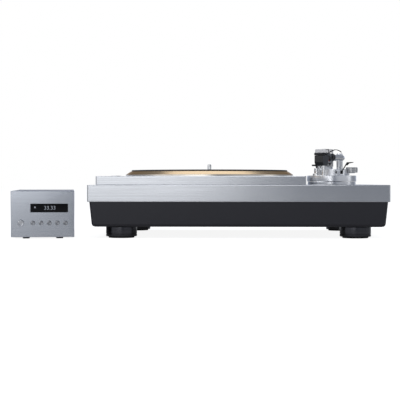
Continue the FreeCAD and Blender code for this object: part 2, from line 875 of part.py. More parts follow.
def make_cue_lever():
    hx, hy, hz = cue_hub_place()
    hub = cylinder(hx - cue_hub_width / 2, hy, hz, cue_hub_radius, cue_hub_width, SIDE)
    reach = cue_hub_width / 2 + cue_bracket_width + 2 * free_gap + cue_stop_length
    pin = cylinder(hx - reach, hy, hz, cue_pin_radius, reach, SIDE)
    stop = cylinder(hx - reach, hy, hz, cue_stop_radius, cue_stop_length, SIDE)
    length = math.hypot(cue_lean, cue_rise)
    rod = cylinder(hx, hy, hz, cue_rod_radius, length, V(cue_lean, 0, cue_rise))
    tip_x, tip_z = hx + cue_lean, hz + cue_rise
    paddle = extruded([(tip_x - 1.5, 0, tip_z - 3.5), (tip_x + 1.0, 0, tip_z - 4.0),
                       (tip_x + 5.0, 0, tip_z), (tip_x + cue_paddle_length, 0, tip_z + 1.6),
                       (tip_x + cue_paddle_length, 0, tip_z + 2.8), (tip_x, 0, tip_z + 2.4)],
                      V(0, hy - 3.0, 0), V(0, 6.0, 0))
    return fused(hub, pin, stop, rod, paddle)


def make_anti_skate_dial():
    x, y = pivot_x + dial_x, pivot_y
    low = carrier_top + bracket_lift + bracket_height + running_gap
    bore = dial_stem_radius + running_gap
    return turned([(bore, low), (dial_radius - 0.8, low), (dial_radius, low + 0.8),
                   (dial_radius, low + dial_height - 1.2),
                   (dial_radius - 1.2, low + dial_height), (0, low + dial_height),
                   (0, low + dial_stem_length + 0.5), (bore, low + dial_stem_length + 0.5)],
                  x, y)


def make_lift_cylinder():
    x, y = pivot_x - lifter_x, pivot_y - lifter_y
    bore = lifter_rod_radius + running_gap
    return turned([(bore, 0), (lifter_flange_radius, 0),
                   (lifter_flange_radius, lifter_flange_height - 0.8),
                   (lifter_flange_radius - 0.8, lifter_flange_height),
                   (lifter_radius, lifter_flange_height), (lifter_radius, lifter_height - 0.6),
                   (lifter_radius - 0.6, lifter_height), (bore, lifter_height)],
                  x, y, carrier_top)


def make_lift_bar():
    """A rod in the lifter and a bar curved about the arm's pivot."""
    x, y = pivot_x - lifter_x, pivot_y - lifter_y
    reach = math.hypot(lifter_x, lifter_y)
    top = tube_z - tube_radius - lifter_bar_gap - lifter_travel
    low = top - lifter_bar_height
    rod = cylinder(x, y, carrier_top - 5.5, lifter_rod_radius, low - carrier_top + 6.0)
    outer, inner = reach + lifter_bar_width / 2, reach - lifter_bar_width / 2
    start = 270 - rest_angle + lifter_bar_start
    centre = V(pivot_x, pivot_y, low)
    sector = Part.makeCylinder(outer, lifter_bar_height, centre, UP, lifter_bar_span)
    sector = sector.cut(Part.makeCylinder(inner, lifter_bar_height, centre, UP))
    sector.rotate(centre, UP, start - lifter_bar_span)
    return fused(sector, rod)


# Tonearm. These pieces are made with the pivot at the origin and the stylus on the -Y axis.

def placed_arm(shape):
    shape.rotate(V(0, 0, 0), UP, -rest_angle)
    shape.translate(V(pivot_x, pivot_y, 0))
    return shape


def placed_head(shape):
    """From the headshell's own frame, stylus at the origin and the shell along +Y."""
    shape.rotate(V(0, 0, 0), UP, -offset_angle)
    shape.translate(V(0, -effective_length, 0))
    return placed_arm(shape)


def make_arm_rest():
    y = -rest_reach
    pad_top = tube_z - tube_radius - free_gap
    right = tube_radius + free_gap
    post = cylinder(0, y, carrier_top, rest_post_radius, pad_top - carrier_top - rest_height / 2)
    foot = cylinder(0, y, carrier_top, rest_post_radius + 1.6, 2.5)
    pad = block(-rest_left, right + rest_wall, y - rest_width / 2, y + rest_width / 2,
                pad_top - rest_height, pad_top)
    wall = block(right, right + rest_wall, y - rest_width / 2, y + rest_width / 2, pad_top,
                 pad_top + rest_wall_height - 2.0)
    hx, hz = clip_hinge()
    knuckle = cylinder(hx, y - rest_width / 2, hz, clip_hub_radius, rest_width, BACK)
    web = block(hx - clip_hub_radius, hx + clip_hub_radius, y - rest_width / 2,
                y + rest_width / 2, pad_top, hz)
    gap = block(hx - 6.0, hx + 6.0, y - clip_width / 2 - free_gap, y + clip_width / 2 + free_gap,
                hz - clip_hub_radius - 0.5, hz + 6.0)
    pin = cylinder(hx, y - rest_width / 2, hz, clip_pin_radius, rest_width, BACK)
    body = fused(post, foot, pad, wall, web, knuckle).cut(gap)
    return placed_arm(fused(body, pin))


def clip_hinge():
    return tube_radius + free_gap + rest_wall / 2 + clip_outward, tube_z + clip_rise


def make_rest_clip():
    """A strap that stands open and folds over the tube to the left."""
    hx, hz = clip_hinge()
    y = -rest_reach - clip_width / 2
    reach = hx + tube_radius + 1.5
    hub = cylinder(hx, y, hz, clip_hub_radius, clip_width, BACK)
    strap = block(hx + clip_hub_radius - clip_thickness, hx + clip_hub_radius, y,
                  y + clip_width, hz, hz + reach)
    hook = block(hx + clip_hub_radius - clip_thickness - clip_hook, hx + clip_hub_radius, y,
                 y + clip_width, hz + reach - clip_thickness, hz + reach)
    bore = cylinder(hx, y, hz, clip_pin_radius + running_gap, clip_width, BACK)
    return placed_arm(fused(hub, strap, hook).cut(bore))


def make_gimbal_yoke():
    half = yoke_width / 2
    low = column_top + free_gap
    top = tube_z + yoke_top
    depth = yoke_depth / 2
    outer = extruded([(-half, 0, low), (half, 0, low), (half, 0, top - yoke_chamfer),
                      (half - yoke_chamfer, 0, top), (-half + yoke_chamfer, 0, top),
                      (-half, 0, top - yoke_chamfer)], V(0, -depth, 0), V(0, yoke_depth, 0))
    window = block(-half + yoke_side, half - yoke_side, -depth, depth, low + yoke_floor,
                   top - yoke_bridge)
    disc = cylinder(0, 0, low, yoke_disc_radius, yoke_floor)
    shaft = cylinder(0, 0, column_top - swing_shaft_length, swing_shaft_radius,
                     swing_shaft_length + free_gap)
    cap = turned([(0, top), (4.0, top), (3.4, top + 0.6), (0, top + 0.6)], 0, 0)
    holes = cylinder(-half, 0, tube_z, tilt_pin_radius + running_gap, yoke_width, SIDE)
    return placed_arm(fused(outer.cut(window), disc, shaft, cap).cut(holes))


def make_bearing_block():
    half = block_width / 2
    drum = cylinder(-half, 0, tube_z, block_radius, block_width, SIDE)
    pin_length = yoke_width - 1.0
    pin = cylinder(-pin_length / 2, 0, tube_z, tilt_pin_radius, pin_length, SIDE)
    stub = cylinder(0, 0, tube_z, stub_radius, stub_end, BACK)
    bore = cylinder(0, -block_radius, tube_z, tube_radius, block_radius + stub_start, BACK)
    return placed_arm(fused(drum, pin, stub).cut(bore))


def tube_corners():
    """Plan points of the tube's centre line, from its rear end to the headshell nut."""
    turn = math.radians(offset_angle)

    def on_head(distance):
        return V(distance * math.sin(turn), -effective_length + distance * math.cos(turn),
                 tube_z)

    return [V(0, stub_start, tube_z), V(0, -elbow_rear, tube_z), on_head(elbow_front),
            on_head(shell_length - shell_nose + plug_length)]


def tube_path():
    """Straight runs joined by arcs that are tangent to them."""
    corners = tube_corners()
    radii = [elbow_rear_radius, elbow_front_radius]
    edges = []
    start = corners[0]
    for i, radius in enumerate(radii):
        corner, ahead = corners[i + 1], corners[i + 2]
        back = (corners[i] - corner).normalize()
        forth = (ahead - corner).normalize()
        half = back.getAngle(forth) / 2
        reach = radius / math.tan(half)
        middle = (back + forth).normalize()
        centre = corner + middle * (radius / math.sin(half))
        enter, leave = corner + back * reach, corner + forth * reach
        crown = centre - middle * radius
        edges.append(Part.makeLine(start, enter))
        edges.append(Part.Arc(enter, crown, leave).toShape())
        start = leave
    edges.append(Part.makeLine(start, corners[-1]))
    return Part.Wire(edges)


def make_arm_tube():
    profile = Part.Wire([Part.makeCircle(tube_radius, V(0, stub_start, tube_z), BACK)])
    return placed_arm(tube_path().makePipeShell([profile], True, False))


def arm_turned(points, y):
    """A solid of revolution about the arm's own line, from (radius, distance) points."""
    solid = turned(points, 0, 0)
    solid.rotate(V(0, 0, 0), SIDE, -90)
    solid.translate(V(0, y, tube_z))
    return solid


def make_force_dial():
    bore = stub_radius + running_gap
    start = stub_start + free_gap + weight_travel
    ring = arm_turned([(bore, 0), (dial_ring_radius - 0.6, 0), (dial_ring_radius, 0.6),
                       (dial_ring_radius, dial_ring_length), (bore, dial_ring_length)], start)
    return placed_arm(ring)


def make_counterweight():
    bore = stub_radius + running_gap
    start = stub_start + free_gap + weight_travel + dial_ring_length + 0.1
    step = weight_drum_step
    drum = arm_turned([(bore, 0), (weight_drum_radius - 1.0, 0), (weight_drum_radius, 1.0),
                       (weight_drum_radius, weight_drum_length - 5.0),
                       (weight_drum_radius - step, weight_drum_length - 5.0),
                       (weight_drum_radius - step, weight_drum_length - 1.0),
                       (weight_drum_radius - step - 1.0, weight_drum_length),
                       (bore, weight_drum_length)], start)
    return placed_arm(drum)


# Headshell pieces, in the headshell's own frame

def make_headshell():
    front, rear = -shell_nose, shell_length - shell_nose
    top = tube_z + shell_top
    under = top - shell_plate
    neck = shell_neck_radius
    side = extruded([(0, front, under + 0.8), (0, front, top - 1.4), (0, front + 3.0, top),
                     (0, rear - 14.0, top), (0, rear, tube_z + neck), (0, rear, tube_z - neck),
                     (0, rear - 7.0, tube_z - neck + 0.6), (0, rear - 17.0, under)],
                    V(-shell_width / 2, 0, 0), V(shell_width, 0, 0))
    half = shell_width / 2
    plan = extruded([(-half + 1.2, front, 0), (half - 1.2, front, 0), (half, front + 4.0, 0),
                     (half, rear - 19.0, 0), (neck + 0.4, rear - 8.0, 0),
                     (neck + 0.4, rear, 0), (-neck - 0.4, rear, 0),
                     (-neck - 0.4, rear - 8.0, 0), (-half, rear - 19.0, 0),
                     (-half, front + 4.0, 0)],
                    V(0, 0, tube_z - 20.0), V(0, 0, 40.0))
    shell = side.common(plan)
    plug = cylinder(0, rear, tube_z, plug_radius, plug_length, BACK)
    slots = [rounded_block(sx * 6.35, 9.5, 2.7, 9.0, 1.3, under - 1.0, top + 1.0)
             for sx in (-1, 1)]
    return placed_head(shell.fuse(plug).cut(group(slots)))


def make_headshell_nut():
    rear = shell_length - shell_nose
    front = rear + 0.3
    points = [(plug_radius + running_gap, 0), (nut_radius - 0.6, 0), (nut_radius, 0.6),
              (nut_radius, nut_length - 0.8), (nut_radius - 0.8, nut_length),
              (tube_radius + running_gap, nut_length), (tube_radius + running_gap,
              plug_length - 0.6), (plug_radius + running_gap, plug_length - 0.6)]
    return placed_head(arm_turned(points, front))


def make_finger_lift():
    """A thin strip that rises from the shell's right side and curls down at its tip."""
    half = shell_width / 2
    z0 = tube_z + shell_top - finger_drop
    y0 = 5.0
    root = V(half, y0, z0)
    bend = V(half + 1.0, y0, z0)
    peak = V(half + finger_reach * 0.55, y0, z0 + finger_rise)
    tip = V(half + finger_reach, y0, z0 + finger_rise * 0.45)
    lift = V(0, 0, finger_thickness)
    upper = [Part.makeLine(root, bend),
             Part.Arc(bend, V(half + finger_reach * 0.25, y0, z0 + finger_rise * 0.55),
                      peak).toShape(),
             Part.Arc(peak, V(half + finger_reach * 0.82, y0, z0 + finger_rise * 0.86),
                      tip).toShape()]
    lower = []
    for edge in reversed(upper):
        other = edge.copy()
        other.translate(lift)
        lower.append(other)
    ends = [Part.makeLine(tip, tip + lift), Part.makeLine(root + lift, root)]
    wire = Part.Wire(Part.__sortEdges__(upper + ends + lower))
    strip = Part.Face(wire).extrude(V(0, finger_width, 0))
    return placed_head(strip)


def make_cartridge():
    """The body under the shell, its raked front, and the cantilever with the stylus."""
    top = tube_z + shell_top - shell_plate
    low = top - cartridge_depth
    half = cartridge_width / 2
    side = extruded([(0, -cartridge_front, top), (0, -cartridge_front, low + 6.0),
                     (0, -cartridge_front + 4.0, low), (0, cartridge_back - 5.0, low),
                     (0, cartridge_back, low + 7.0), (0, cartridge_back, top)],
                    V(-half, 0, 0), V(cartridge_width, 0, 0))
    tip = V(0, 0, low - stylus_drop)
    root = V(0, 7.0, low + 1.0)
    run = tip - root
    beam = Part.makeCylinder(cantilever_radius, run.Length, root, run)
    return placed_head(fused(side, beam))


# Control unit

def unit_button_places():
    left = unit_x - unit_width / 2
    z = unit_bottom + button_line
    places = [("power_button", left + power_x, z, power_radius)]
    names = ["pitch_button", "minus_button", "plus_button", "display_button", "dimmer_button"]
    for i, name in enumerate(names[:small_count]):
        places.append((name, left + first_button_x + i * button_pitch, z, small_radius))
    return places


def window_box(grow, y0, y1):
    left = unit_x - unit_width / 2 + window_left
    low = unit_bottom + window_bottom
    return block(left - grow, left + window_width + grow, y0, y1, low - grow,
                 low + window_height + grow)


def make_control_front_panel():
    panel = block(unit_x - unit_width / 2, unit_x + unit_width / 2, front_y,
                  front_y + front_panel_height, unit_bottom, unit_top)
    rims = [e for e in panel.Edges if e.BoundBox.YMax < front_y + 1e-6]
    panel = panel.makeChamfer(front_chamfer, rims)
    cuts = [window_box(0, front_y - 1.0, front_y + window_glass + 0.3),
            window_box(-window_lip, front_y, front_y + front_panel_height)]
    for _, x, z, radius in unit_button_places():
        cuts.append(cylinder(x, front_y - 1.0, z, radius, front_panel_height + 2.0, BACK))
    return panel.cut(group(cuts))


def make_display_window():
    return window_box(-window_gap, front_y + 0.3, front_y + window_glass + 0.3)


def make_unit_button(x, z, radius):
    """A domed cap on a stem, with a flange behind the panel."""
    cap = radius - button_gap
    behind = front_panel_height + unit_button_proud + free_gap
    profile = [(0, 0), (cap - button_dome, 0), (cap - 0.25, 0.35), (cap, 1.1), (cap, behind),
               (cap + 1.0, behind), (cap + 1.0, behind + 1.2), (0, behind + 1.2)]
    solid = turned(profile, 0, 0)
    solid.rotate(V(0, 0, 0), SIDE, -90)
    solid.translate(V(x, front_y - unit_button_proud, z))
    return solid


def make_control_chassis():
    """Floor and rear panel, with the pillars that carry the board."""
    half = unit_width / 2 - sheet
    start = front_y + front_panel_height
    floor = block(unit_x - half, unit_x + half, start, unit_back, unit_bottom,
                  unit_bottom + sheet)
    rear = block(unit_x - half, unit_x + half, unit_back - sheet, unit_back, unit_bottom,
                 unit_top - sheet)
    pillars = [cylinder(x, y, unit_bottom + sheet, 3.0, board_lift) for x, y in pillar_places()]
    body = fused(floor, rear, *pillars)
    x, z = unit_socket_place()
    px, pz = power_inlet_place()
    half_w, half_h = inlet_width / 2, inlet_height / 2
    holes = [cylinder(x, unit_back - sheet, z, connector_radius, sheet, BACK),
             block(px - half_w, px + half_w, unit_back - sheet, unit_back, pz - half_h,
                   pz + half_h)]
    return body.cut(group(holes))


def pillar_places():
    y0 = front_y + front_panel_height + 22.0
    return [(unit_x + sx * 38.0, y0 + sy) for sx in (-1, 1) for sy in (0.0, board_length - 20.0)]


def unit_socket_place():
    return unit_x + 28.0, unit_bottom + 52.0


def power_inlet_place():
    return unit_x - 22.0, unit_bottom + 24.0


def make_control_cover():
    half = unit_width / 2
    start = front_y + front_panel_height
    outside = block(unit_x - half, unit_x + half, start, unit_back, unit_bottom, unit_top)
    inside = block(unit_x - half + sheet, unit_x + half - sheet, start, unit_back, unit_bottom,
                   unit_top - sheet)
    return outside.cut(inside)


def make_control_board():
    """A level main board, and a front board that carries the switches and the display."""
    y0 = front_y + front_panel_height + 12.0
    z0 = unit_bottom + sheet + board_lift
    half = unit_width / 2 - sheet - 6.0
    main = block(unit_x - half, unit_x + half, y0, y0 + board_length, z0, z0 + board_thick)
    front_face = y0 - board_thick
    front = block(unit_x - half, unit_x + half, front_face, y0, z0, unit_top - sheet - 4.0)
    switches = []
    back_of_button = front_y + front_panel_height + free_gap + 1.2
    for _, x, z, radius in unit_button_places():
        start = back_of_button + unit_button_travel + free_gap
        switches.append(cylinder(x, start, z, 2.5, front_face - start, BACK))
    screen = window_box(-4.0, front_y + front_panel_height + 1.0, front_face)
    chips = [block(unit_x - 30.0 + i * 22.0, unit_x - 16.0 + i * 22.0, y0 + 50.0, y0 + 64.0,
                   z0 + board_thick, z0 + board_thick + 2.5) for i in range(3)]
    caps = [cylinder(unit_x - 30.0 + i * 20.0, y0 + 130.0, z0 + board_thick, 7.0, 26.0)
            for i in range(4)]
    return fused(main, front, screen, *switches, *chips, *caps)


def make_transformer():
    y = unit_back - sheet - transformer_radius - 34.0
    z = unit_bottom + sheet
    ring = tube(unit_x, y, z, transformer_radius, transformer_bore, transformer_height)
    rims = [e for e in ring.Edges if e.BoundBox.ZLength < 1e-6 and e.Length > 100]
    return ring.makeFillet(6.0, rims)


def unit_foot_places():
    left, right = unit_x - unit_width / 2, unit_x + unit_width / 2
    xs = (left + unit_foot_inset_x, right - unit_foot_inset_x)
    ys = (front_y + unit_foot_inset_y, unit_back - unit_foot_inset_y)
    return [(x, y) for x in xs for y in ys]


def make_control_feet():
    return group([turned([(0, 0), (unit_foot_radius - 0.5, 0), (unit_foot_radius, 0.5),
                          (unit_foot_radius, unit_foot_height), (0, unit_foot_height)], x, y)
                  for x, y in unit_foot_places()])


def make_control_sockets():
    """The motor lead's round socket and the mains inlet."""
    x, z = unit_socket_place()
    motor = connector(x, z, unit_back, connector_pin_length - socket_flange_gap, connector_tail)
    px, pz = power_inlet_place()
    half_w, half_h = inlet_width / 2, inlet_height / 2
    body = block(px - half_w, px + half_w, unit_back - inlet_depth, unit_back, pz - half_h,
                 pz + half_h)
    rim_w, rim_h = half_w + inlet_rim, half_h + inlet_rim
    rim = block(px - rim_w, px + rim_w, unit_back, unit_back + inlet_rim_height, pz - rim_h,
                pz + rim_h)
    in_w, in_h = half_w - inlet_wall, half_h - inlet_wall
    mouth = block(px - in_w, px + in_w, unit_back - inlet_mouth, unit_back + inlet_rim_height,
                  pz - in_h, pz + in_h)
    blades = []
    tip = unit_back - inlet_blade_gap
    for dx, dz in ((-in_w * 0.58, -in_h / 4), (0.0, in_h / 4), (in_w * 0.58, -in_h / 4)):
        blades.append(block(px + dx - inlet_blade_width / 2, px + dx + inlet_blade_width / 2,
                            tip - inlet_blade_length, tip, pz + dz - inlet_blade_height / 2,
                            pz + dz + inlet_blade_height / 2))
    inlet = fused(fused(body, rim).cut(mouth), *blades)
    return group([motor, inlet])


def turned_unit(shape):
    """The control unit's pieces are made square, then turned about the near front corner."""
    shape.rotate(V(unit_corner_x, front_y, 0), UP, unit_turn)
    return shape


def build():
    nodes["plinth_base"] = make_plinth_base()
    nodes["plinth_top"] = make_plinth_top()
    nodes["bottom_cover"] = make_bottom_cover()
    nodes["plinth_screws"] = group([screw(x, y) for x, y in cover_screw_places()])
    nodes["plinth_sockets"] = make_plinth_sockets()
    for corner, (x, y) in foot_places().items():
        collar, sole = make_foot(x, y)
        nodes["foot_collar_" + corner] = collar
        nodes["foot_sole_" + corner] = sole
    nodes["motor_deck"] = make_motor_deck()
    nodes["motor_housing"] = make_motor_housing()
    nodes["bearing_housing"] = make_bearing_housing()
    nodes["stator"] = make_stator()
    for name, (x, y, radius, proud) in deck_button_places().items():
        nodes[name] = make_deck_button(x, y, radius, proud)
    nodes["spindle"] = make_spindle()
    nodes["rotor"] = make_rotor()
    nodes["platter_body"] = make_platter_body()
    nodes["inertia_weights"] = group(weights(weight_radius))
    nodes["platter_top"] = make_platter_top()
    nodes["platter_mat"] = make_platter_mat()
    nodes["arm_bushing"] = make_arm_bushing()
    nodes["height_ring"] = make_height_ring()
    nodes["arm_carrier"] = make_arm_carrier()
    nodes["arm_base"] = make_arm_base()
    nodes["cue_lever"] = make_cue_lever()
    nodes["anti_skate_dial"] = make_anti_skate_dial()
    nodes["lift_cylinder"] = make_lift_cylinder()
    nodes["lift_bar"] = make_lift_bar()
    nodes["arm_rest"] = make_arm_rest()
    nodes["rest_clip"] = make_rest_clip()
    nodes["gimbal_yoke"] = make_gimbal_yoke()
    nodes["bearing_block"] = make_bearing_block()
    nodes["arm_tube"] = make_arm_tube()
    nodes["force_dial"] = make_force_dial()
    nodes["counterweight"] = make_counterweight()
    nodes["headshell"] = make_headshell()
    nodes["headshell_nut"] = make_headshell_nut()
    nodes["finger_lift"] = make_finger_lift()
    nodes["cartridge"] = make_cartridge()
    nodes["control_front_panel"] = turned_unit(make_control_front_panel())
    nodes["display_window"] = turned_unit(make_display_window())
    for name, x, z, radius in unit_button_places():
        nodes[name] = turned_unit(make_unit_button(x, z, radius))
    nodes["control_chassis"] = turned_unit(make_control_chassis())
    nodes["control_cover"] = turned_unit(make_control_cover())
    nodes["control_board"] = turned_unit(make_control_board())
    nodes["transformer"] = turned_unit(make_transformer())
    nodes["control_feet"] = turned_unit(make_control_feet())
    nodes["control_sockets"] = turned_unit(make_control_sockets())


build()
for name, shape in nodes.items():
    shape.exportStep("parts/" + name + ".step")
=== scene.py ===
import json
import math
import bmesh
import bpy
from mathutils import Matrix, Vector

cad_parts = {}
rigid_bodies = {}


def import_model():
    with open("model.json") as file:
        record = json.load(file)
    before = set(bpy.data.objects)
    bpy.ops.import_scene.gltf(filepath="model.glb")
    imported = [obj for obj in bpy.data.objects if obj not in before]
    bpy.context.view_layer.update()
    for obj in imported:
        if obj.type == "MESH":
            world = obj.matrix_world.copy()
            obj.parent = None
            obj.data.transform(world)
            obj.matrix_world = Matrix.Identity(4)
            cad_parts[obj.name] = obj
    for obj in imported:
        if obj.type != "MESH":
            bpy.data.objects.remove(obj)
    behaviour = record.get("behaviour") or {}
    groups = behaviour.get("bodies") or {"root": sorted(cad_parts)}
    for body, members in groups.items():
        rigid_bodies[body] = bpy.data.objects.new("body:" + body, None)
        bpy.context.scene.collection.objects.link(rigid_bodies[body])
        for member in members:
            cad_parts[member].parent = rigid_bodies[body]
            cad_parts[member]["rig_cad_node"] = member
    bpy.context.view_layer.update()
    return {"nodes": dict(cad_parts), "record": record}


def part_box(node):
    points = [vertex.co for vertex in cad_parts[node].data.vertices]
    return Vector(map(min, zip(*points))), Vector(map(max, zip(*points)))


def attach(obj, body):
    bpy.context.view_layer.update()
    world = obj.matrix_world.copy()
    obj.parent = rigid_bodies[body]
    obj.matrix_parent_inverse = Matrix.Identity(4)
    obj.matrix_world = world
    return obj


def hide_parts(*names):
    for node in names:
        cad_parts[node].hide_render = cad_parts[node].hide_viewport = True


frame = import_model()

bl_info = {
    "name": "Turntable with arm pod and control unit",
    "version": (1, 0, 0),
    "blender": (4, 5, 0),
    "location": "View3D > Sidebar > Turntable",
    "description": "Builds the dressed turntable over its fixed frame",
    "category": "Object",
}

# Places taken from the frame. Metres; X to the right, Y to the back, Z up.

NODES = frame["nodes"]
BODY = {node: body for body, nodes in frame["record"]["behaviour"]["bodies"].items()
        for node in nodes}


def middle(node):
    low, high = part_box(node)
    return Vector([(a + b) / 2 for a, b in zip(low, high)])


def heights(node):
    """The bottom and the top of a node, in millimetres."""
    return [1000 * corner[2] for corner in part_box(node)]


SLAB_LOW, SLAB_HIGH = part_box("plinth_top")
SLAB_CENTRE = (SLAB_LOW[0] + SLAB_HIGH[0]) / 2
FRONT = SLAB_LOW[1]
DECK_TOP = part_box("motor_deck")[1][2]
PLATTER = middle("platter_top")
POD = middle("height_ring")
PIVOT = middle("gimbal_yoke")
TUBE_HEIGHT = middle("counterweight").z


def about(x, y, z=0.0):
    return Matrix.Translation((x, y, z))


def turned_by(degrees, axis):
    return Matrix.Rotation(math.radians(degrees), 4, axis)


def along_y(y, x=0.0, z=0.0):
    """Lays a turned piece down, so that its height runs to the back from y."""
    return about(x, y, z) @ turned_by(-90, "X")


# The control unit in metres: its depth, its feet's height, the heights of the window and of
# the buttons above the floor, and of the signs above the buttons.
UNIT_DEPTH = 0.350
UNIT_FEET = 0.003
WINDOW_ROW = UNIT_FEET + 0.0511
BUTTON_ROW = UNIT_FEET + 0.0249
SIGN_RISE = 0.0076

# How thick marks and letters are, in metres, and a font's size over its digits' height.
INLAY = 0.00006
FONT_SIZE = 1.38


# Settings

def length(name, description, default):
    return bpy.props.FloatProperty(name=name, description=description, default=default,
                                   unit="LENGTH")


def angle(name, description, degrees):
    return bpy.props.FloatProperty(name=name, description=description,
                                   default=math.radians(degrees), subtype="ANGLE")


def colour(name, description, *default):
    return bpy.props.FloatVectorProperty(name=name, description=description, subtype="COLOR",
                                         size=3, default=default, min=0, max=1)


class PlinthSettings(bpy.types.PropertyGroup):
    plate_colour: colour("Plates", "Brushed plates of the plinth and the motor unit",
                         0.62, 0.635, 0.66)
    base_colour: colour("Base", "Moulded base under the slab", 0.0165, 0.0165, 0.0235)
    foot_colour: colour("Feet", "Anodised cans of the feet", 0.070, 0.070, 0.078)
    foot_groove: length("Foot groove", "Depth of the turned groove round each foot", 0.0005)
    numeral_size: length("Numerals", "Height of the speed numerals on the deck", 0.0055)


class PlatterSettings(bpy.types.PropertyGroup):
    segments: bpy.props.IntProperty(
        name="Segments", description="Faces round the platter", default=256, min=64, max=512)
    taper: length("Taper", "How far the brass edge slopes in", 0.0095)
    mat_edge: length("Mat edge", "Brass left bare round the mat", 0.0015)
    groove_pitch: length("Mat grooves", "Distance between the mat's rings", 0.0075)
    brass_colour: colour("Brass", "Turned plate under the mat", 0.75, 0.59, 0.40)
    alloy_colour: colour("Rim", "Turned rim of the platter", 0.92, 0.87, 0.78)
    rubber_colour: colour("Mat", "Rubber mat", 0.030, 0.030, 0.031)


class ArmSettings(bpy.types.PropertyGroup):
    rest_angle: angle("Rest angle", "How far the resting arm points to the left", 6.0)
    offset_angle: angle("Offset angle", "Between the headshell and the arm's line", 21.0)
    length: length("Effective length", "Pivot to stylus", 0.254)
    tube_radius: length("Tube radius", "S-shaped tube", 0.005)
    casting_colour: colour("Castings", "Satin castings of the arm pod", 0.89, 0.90, 0.92)
    tube_colour: colour("Tube", "Satin tube and gimbal", 0.80, 0.80, 0.80)
    dark_colour: colour("Dark pieces", "Headshell, nut, lever and lift bar",
                        0.016, 0.016, 0.017)
    weight_colour: colour("Counterweight", "Dark turned weight", 0.10, 0.10, 0.105)


class ControlSettings(bpy.types.PropertyGroup):
    turn: angle("Turn", "How far the unit's front looks to the right", 8.6)
    gap: length("Gap", "Between the unit's near corner and the plinth", 0.0222)
    width: length("Width", "Width of the front panel", 0.1106)
    digit_size: length("Digits", "Height of the display's digits", 0.0068)
    panel_colour: colour("Panel", "Brushed front panel", 0.54, 0.565, 0.61)
    case_colour: colour("Case", "Satin silver sheet case", 0.42, 0.43, 0.45)
    digit_colour: colour("Digits colour", "Light of the digits", 0.34, 0.36, 0.40)


def settings(name):
    return getattr(bpy.context.scene, "turntable_" + name)


# Working with objects

def deselect():
    if bpy.context.object and bpy.context.object.mode != "OBJECT":
        bpy.ops.object.mode_set(mode="OBJECT")
    bpy.ops.object.select_all(action="DESELECT")
    bpy.context.tool_settings.mesh_select_mode = (True, False, False)


def pick(piece):
    deselect()
    piece.select_set(True)
    bpy.context.view_layer.objects.active = piece


def new(name, operator, **values):
    """The object that one of Blender's operators adds."""
    deselect()
    operator(**values)
    piece = bpy.context.active_object
    piece.name = name
    return piece


def put(piece, place):
    """Moves a piece to its place and keeps that place in its mesh."""
    pick(piece)
    piece.matrix_world = place @ piece.matrix_world
    bpy.ops.object.transform_apply()
    return piece


def edit(piece):
    pick(piece)
    bpy.ops.object.mode_set(mode="EDIT")
    bpy.ops.mesh.select_all(action="DESELECT")


def edit_all(piece=None):
    """Enters edit mode, on the active piece if none is named, with everything selected."""
    if piece:
        pick(piece)
    bpy.ops.object.mode_set(mode="EDIT")
    bpy.ops.mesh.select_all(action="SELECT")


def done():
    bpy.ops.object.mode_set(mode="OBJECT")


def face_outwards(weld=None):
    """Welds close points if asked, turns all normals outwards and leaves edit mode."""
    bpy.ops.mesh.select_all(action="SELECT")
    if weld:
        bpy.ops.mesh.remove_doubles(threshold=weld)
    bpy.ops.mesh.normals_make_consistent(inside=False)
    done()


def lathe(name, rings, segments=96, closed=False):
    """A turned piece about the Z axis from (radius, height) rings, given in millimetres."""
    radius, height = rings[0][0] / 1000, rings[0][1] / 1000
    piece = new(name, bpy.ops.mesh.primitive_circle_add, vertices=segments, radius=radius,
                location=(0, 0, height), fill_type="NOTHING" if closed else "NGON")
    bpy.ops.object.transform_apply()
    edit_all()
    for next_radius, next_height in list(rings[1:]) + ([rings[0]] if closed else []):
        next_radius, next_height = next_radius / 1000, next_height / 1000
        bpy.ops.mesh.extrude_region_move(
            TRANSFORM_OT_translate={"value": (0, 0, next_height - height)})
        scale = next_radius / radius
        bpy.ops.transform.resize(value=(scale, scale, 1), center_override=(0, 0, next_height))
        radius, height = next_radius, next_height
    face_outwards(weld=1e-6)
    return piece


def ribbed(piece, low, high, every, depth):
    """Presses every second or third side face between two heights of a turned piece in."""
    edit(piece)
    shape = bmesh.from_edit_mesh(piece.data)
    bpy.ops.mesh.select_mode(type="FACE")
    radius = max(math.hypot(v.co.x, v.co.y) for v in shape.verts)
    sides = []
    for face in shape.faces:
        centre = face.calc_center_median()
        inside = low / 1000 < centre.z < high / 1000
        if inside and math.hypot(centre.x, centre.y) > radius * 0.97 and abs(face.normal.z) < 0.1:
            sides.append((math.atan2(centre.y, centre.x), face))
    sides.sort(key=lambda item: item[0])
    for i, (_, face) in enumerate(sides):
        face.select_set(i % every == 0)
    bmesh.update_edit_mesh(piece.data)
    bpy.ops.mesh.extrude_region_shrink_fatten(TRANSFORM_OT_shrink_fatten={"value": depth})
    done()


def eased(piece, width, segments, angle):
    """Rounds a piece's sharp edges a little."""
    pick(piece)
    bevel = piece.modifiers.new("Eased edges", "BEVEL")
    bevel.width = width
    bevel.segments = segments
    bevel.limit_method = "ANGLE"
    bevel.angle_limit = math.radians(angle)
    bpy.ops.object.modifier_apply(modifier=bevel.name)


def smooth(piece, angle):
    """Smooth shading that the large flat faces win, so that eased edges don't tint them."""
    pick(piece)
    bpy.ops.object.shade_smooth_by_angle(angle=math.radians(angle))
    flat = piece.modifiers.new("Flat faces first", "WEIGHTED_NORMAL")
    flat.keep_sharp = True
    flat.weight = 80
    bpy.ops.object.modifier_apply(modifier=flat.name)


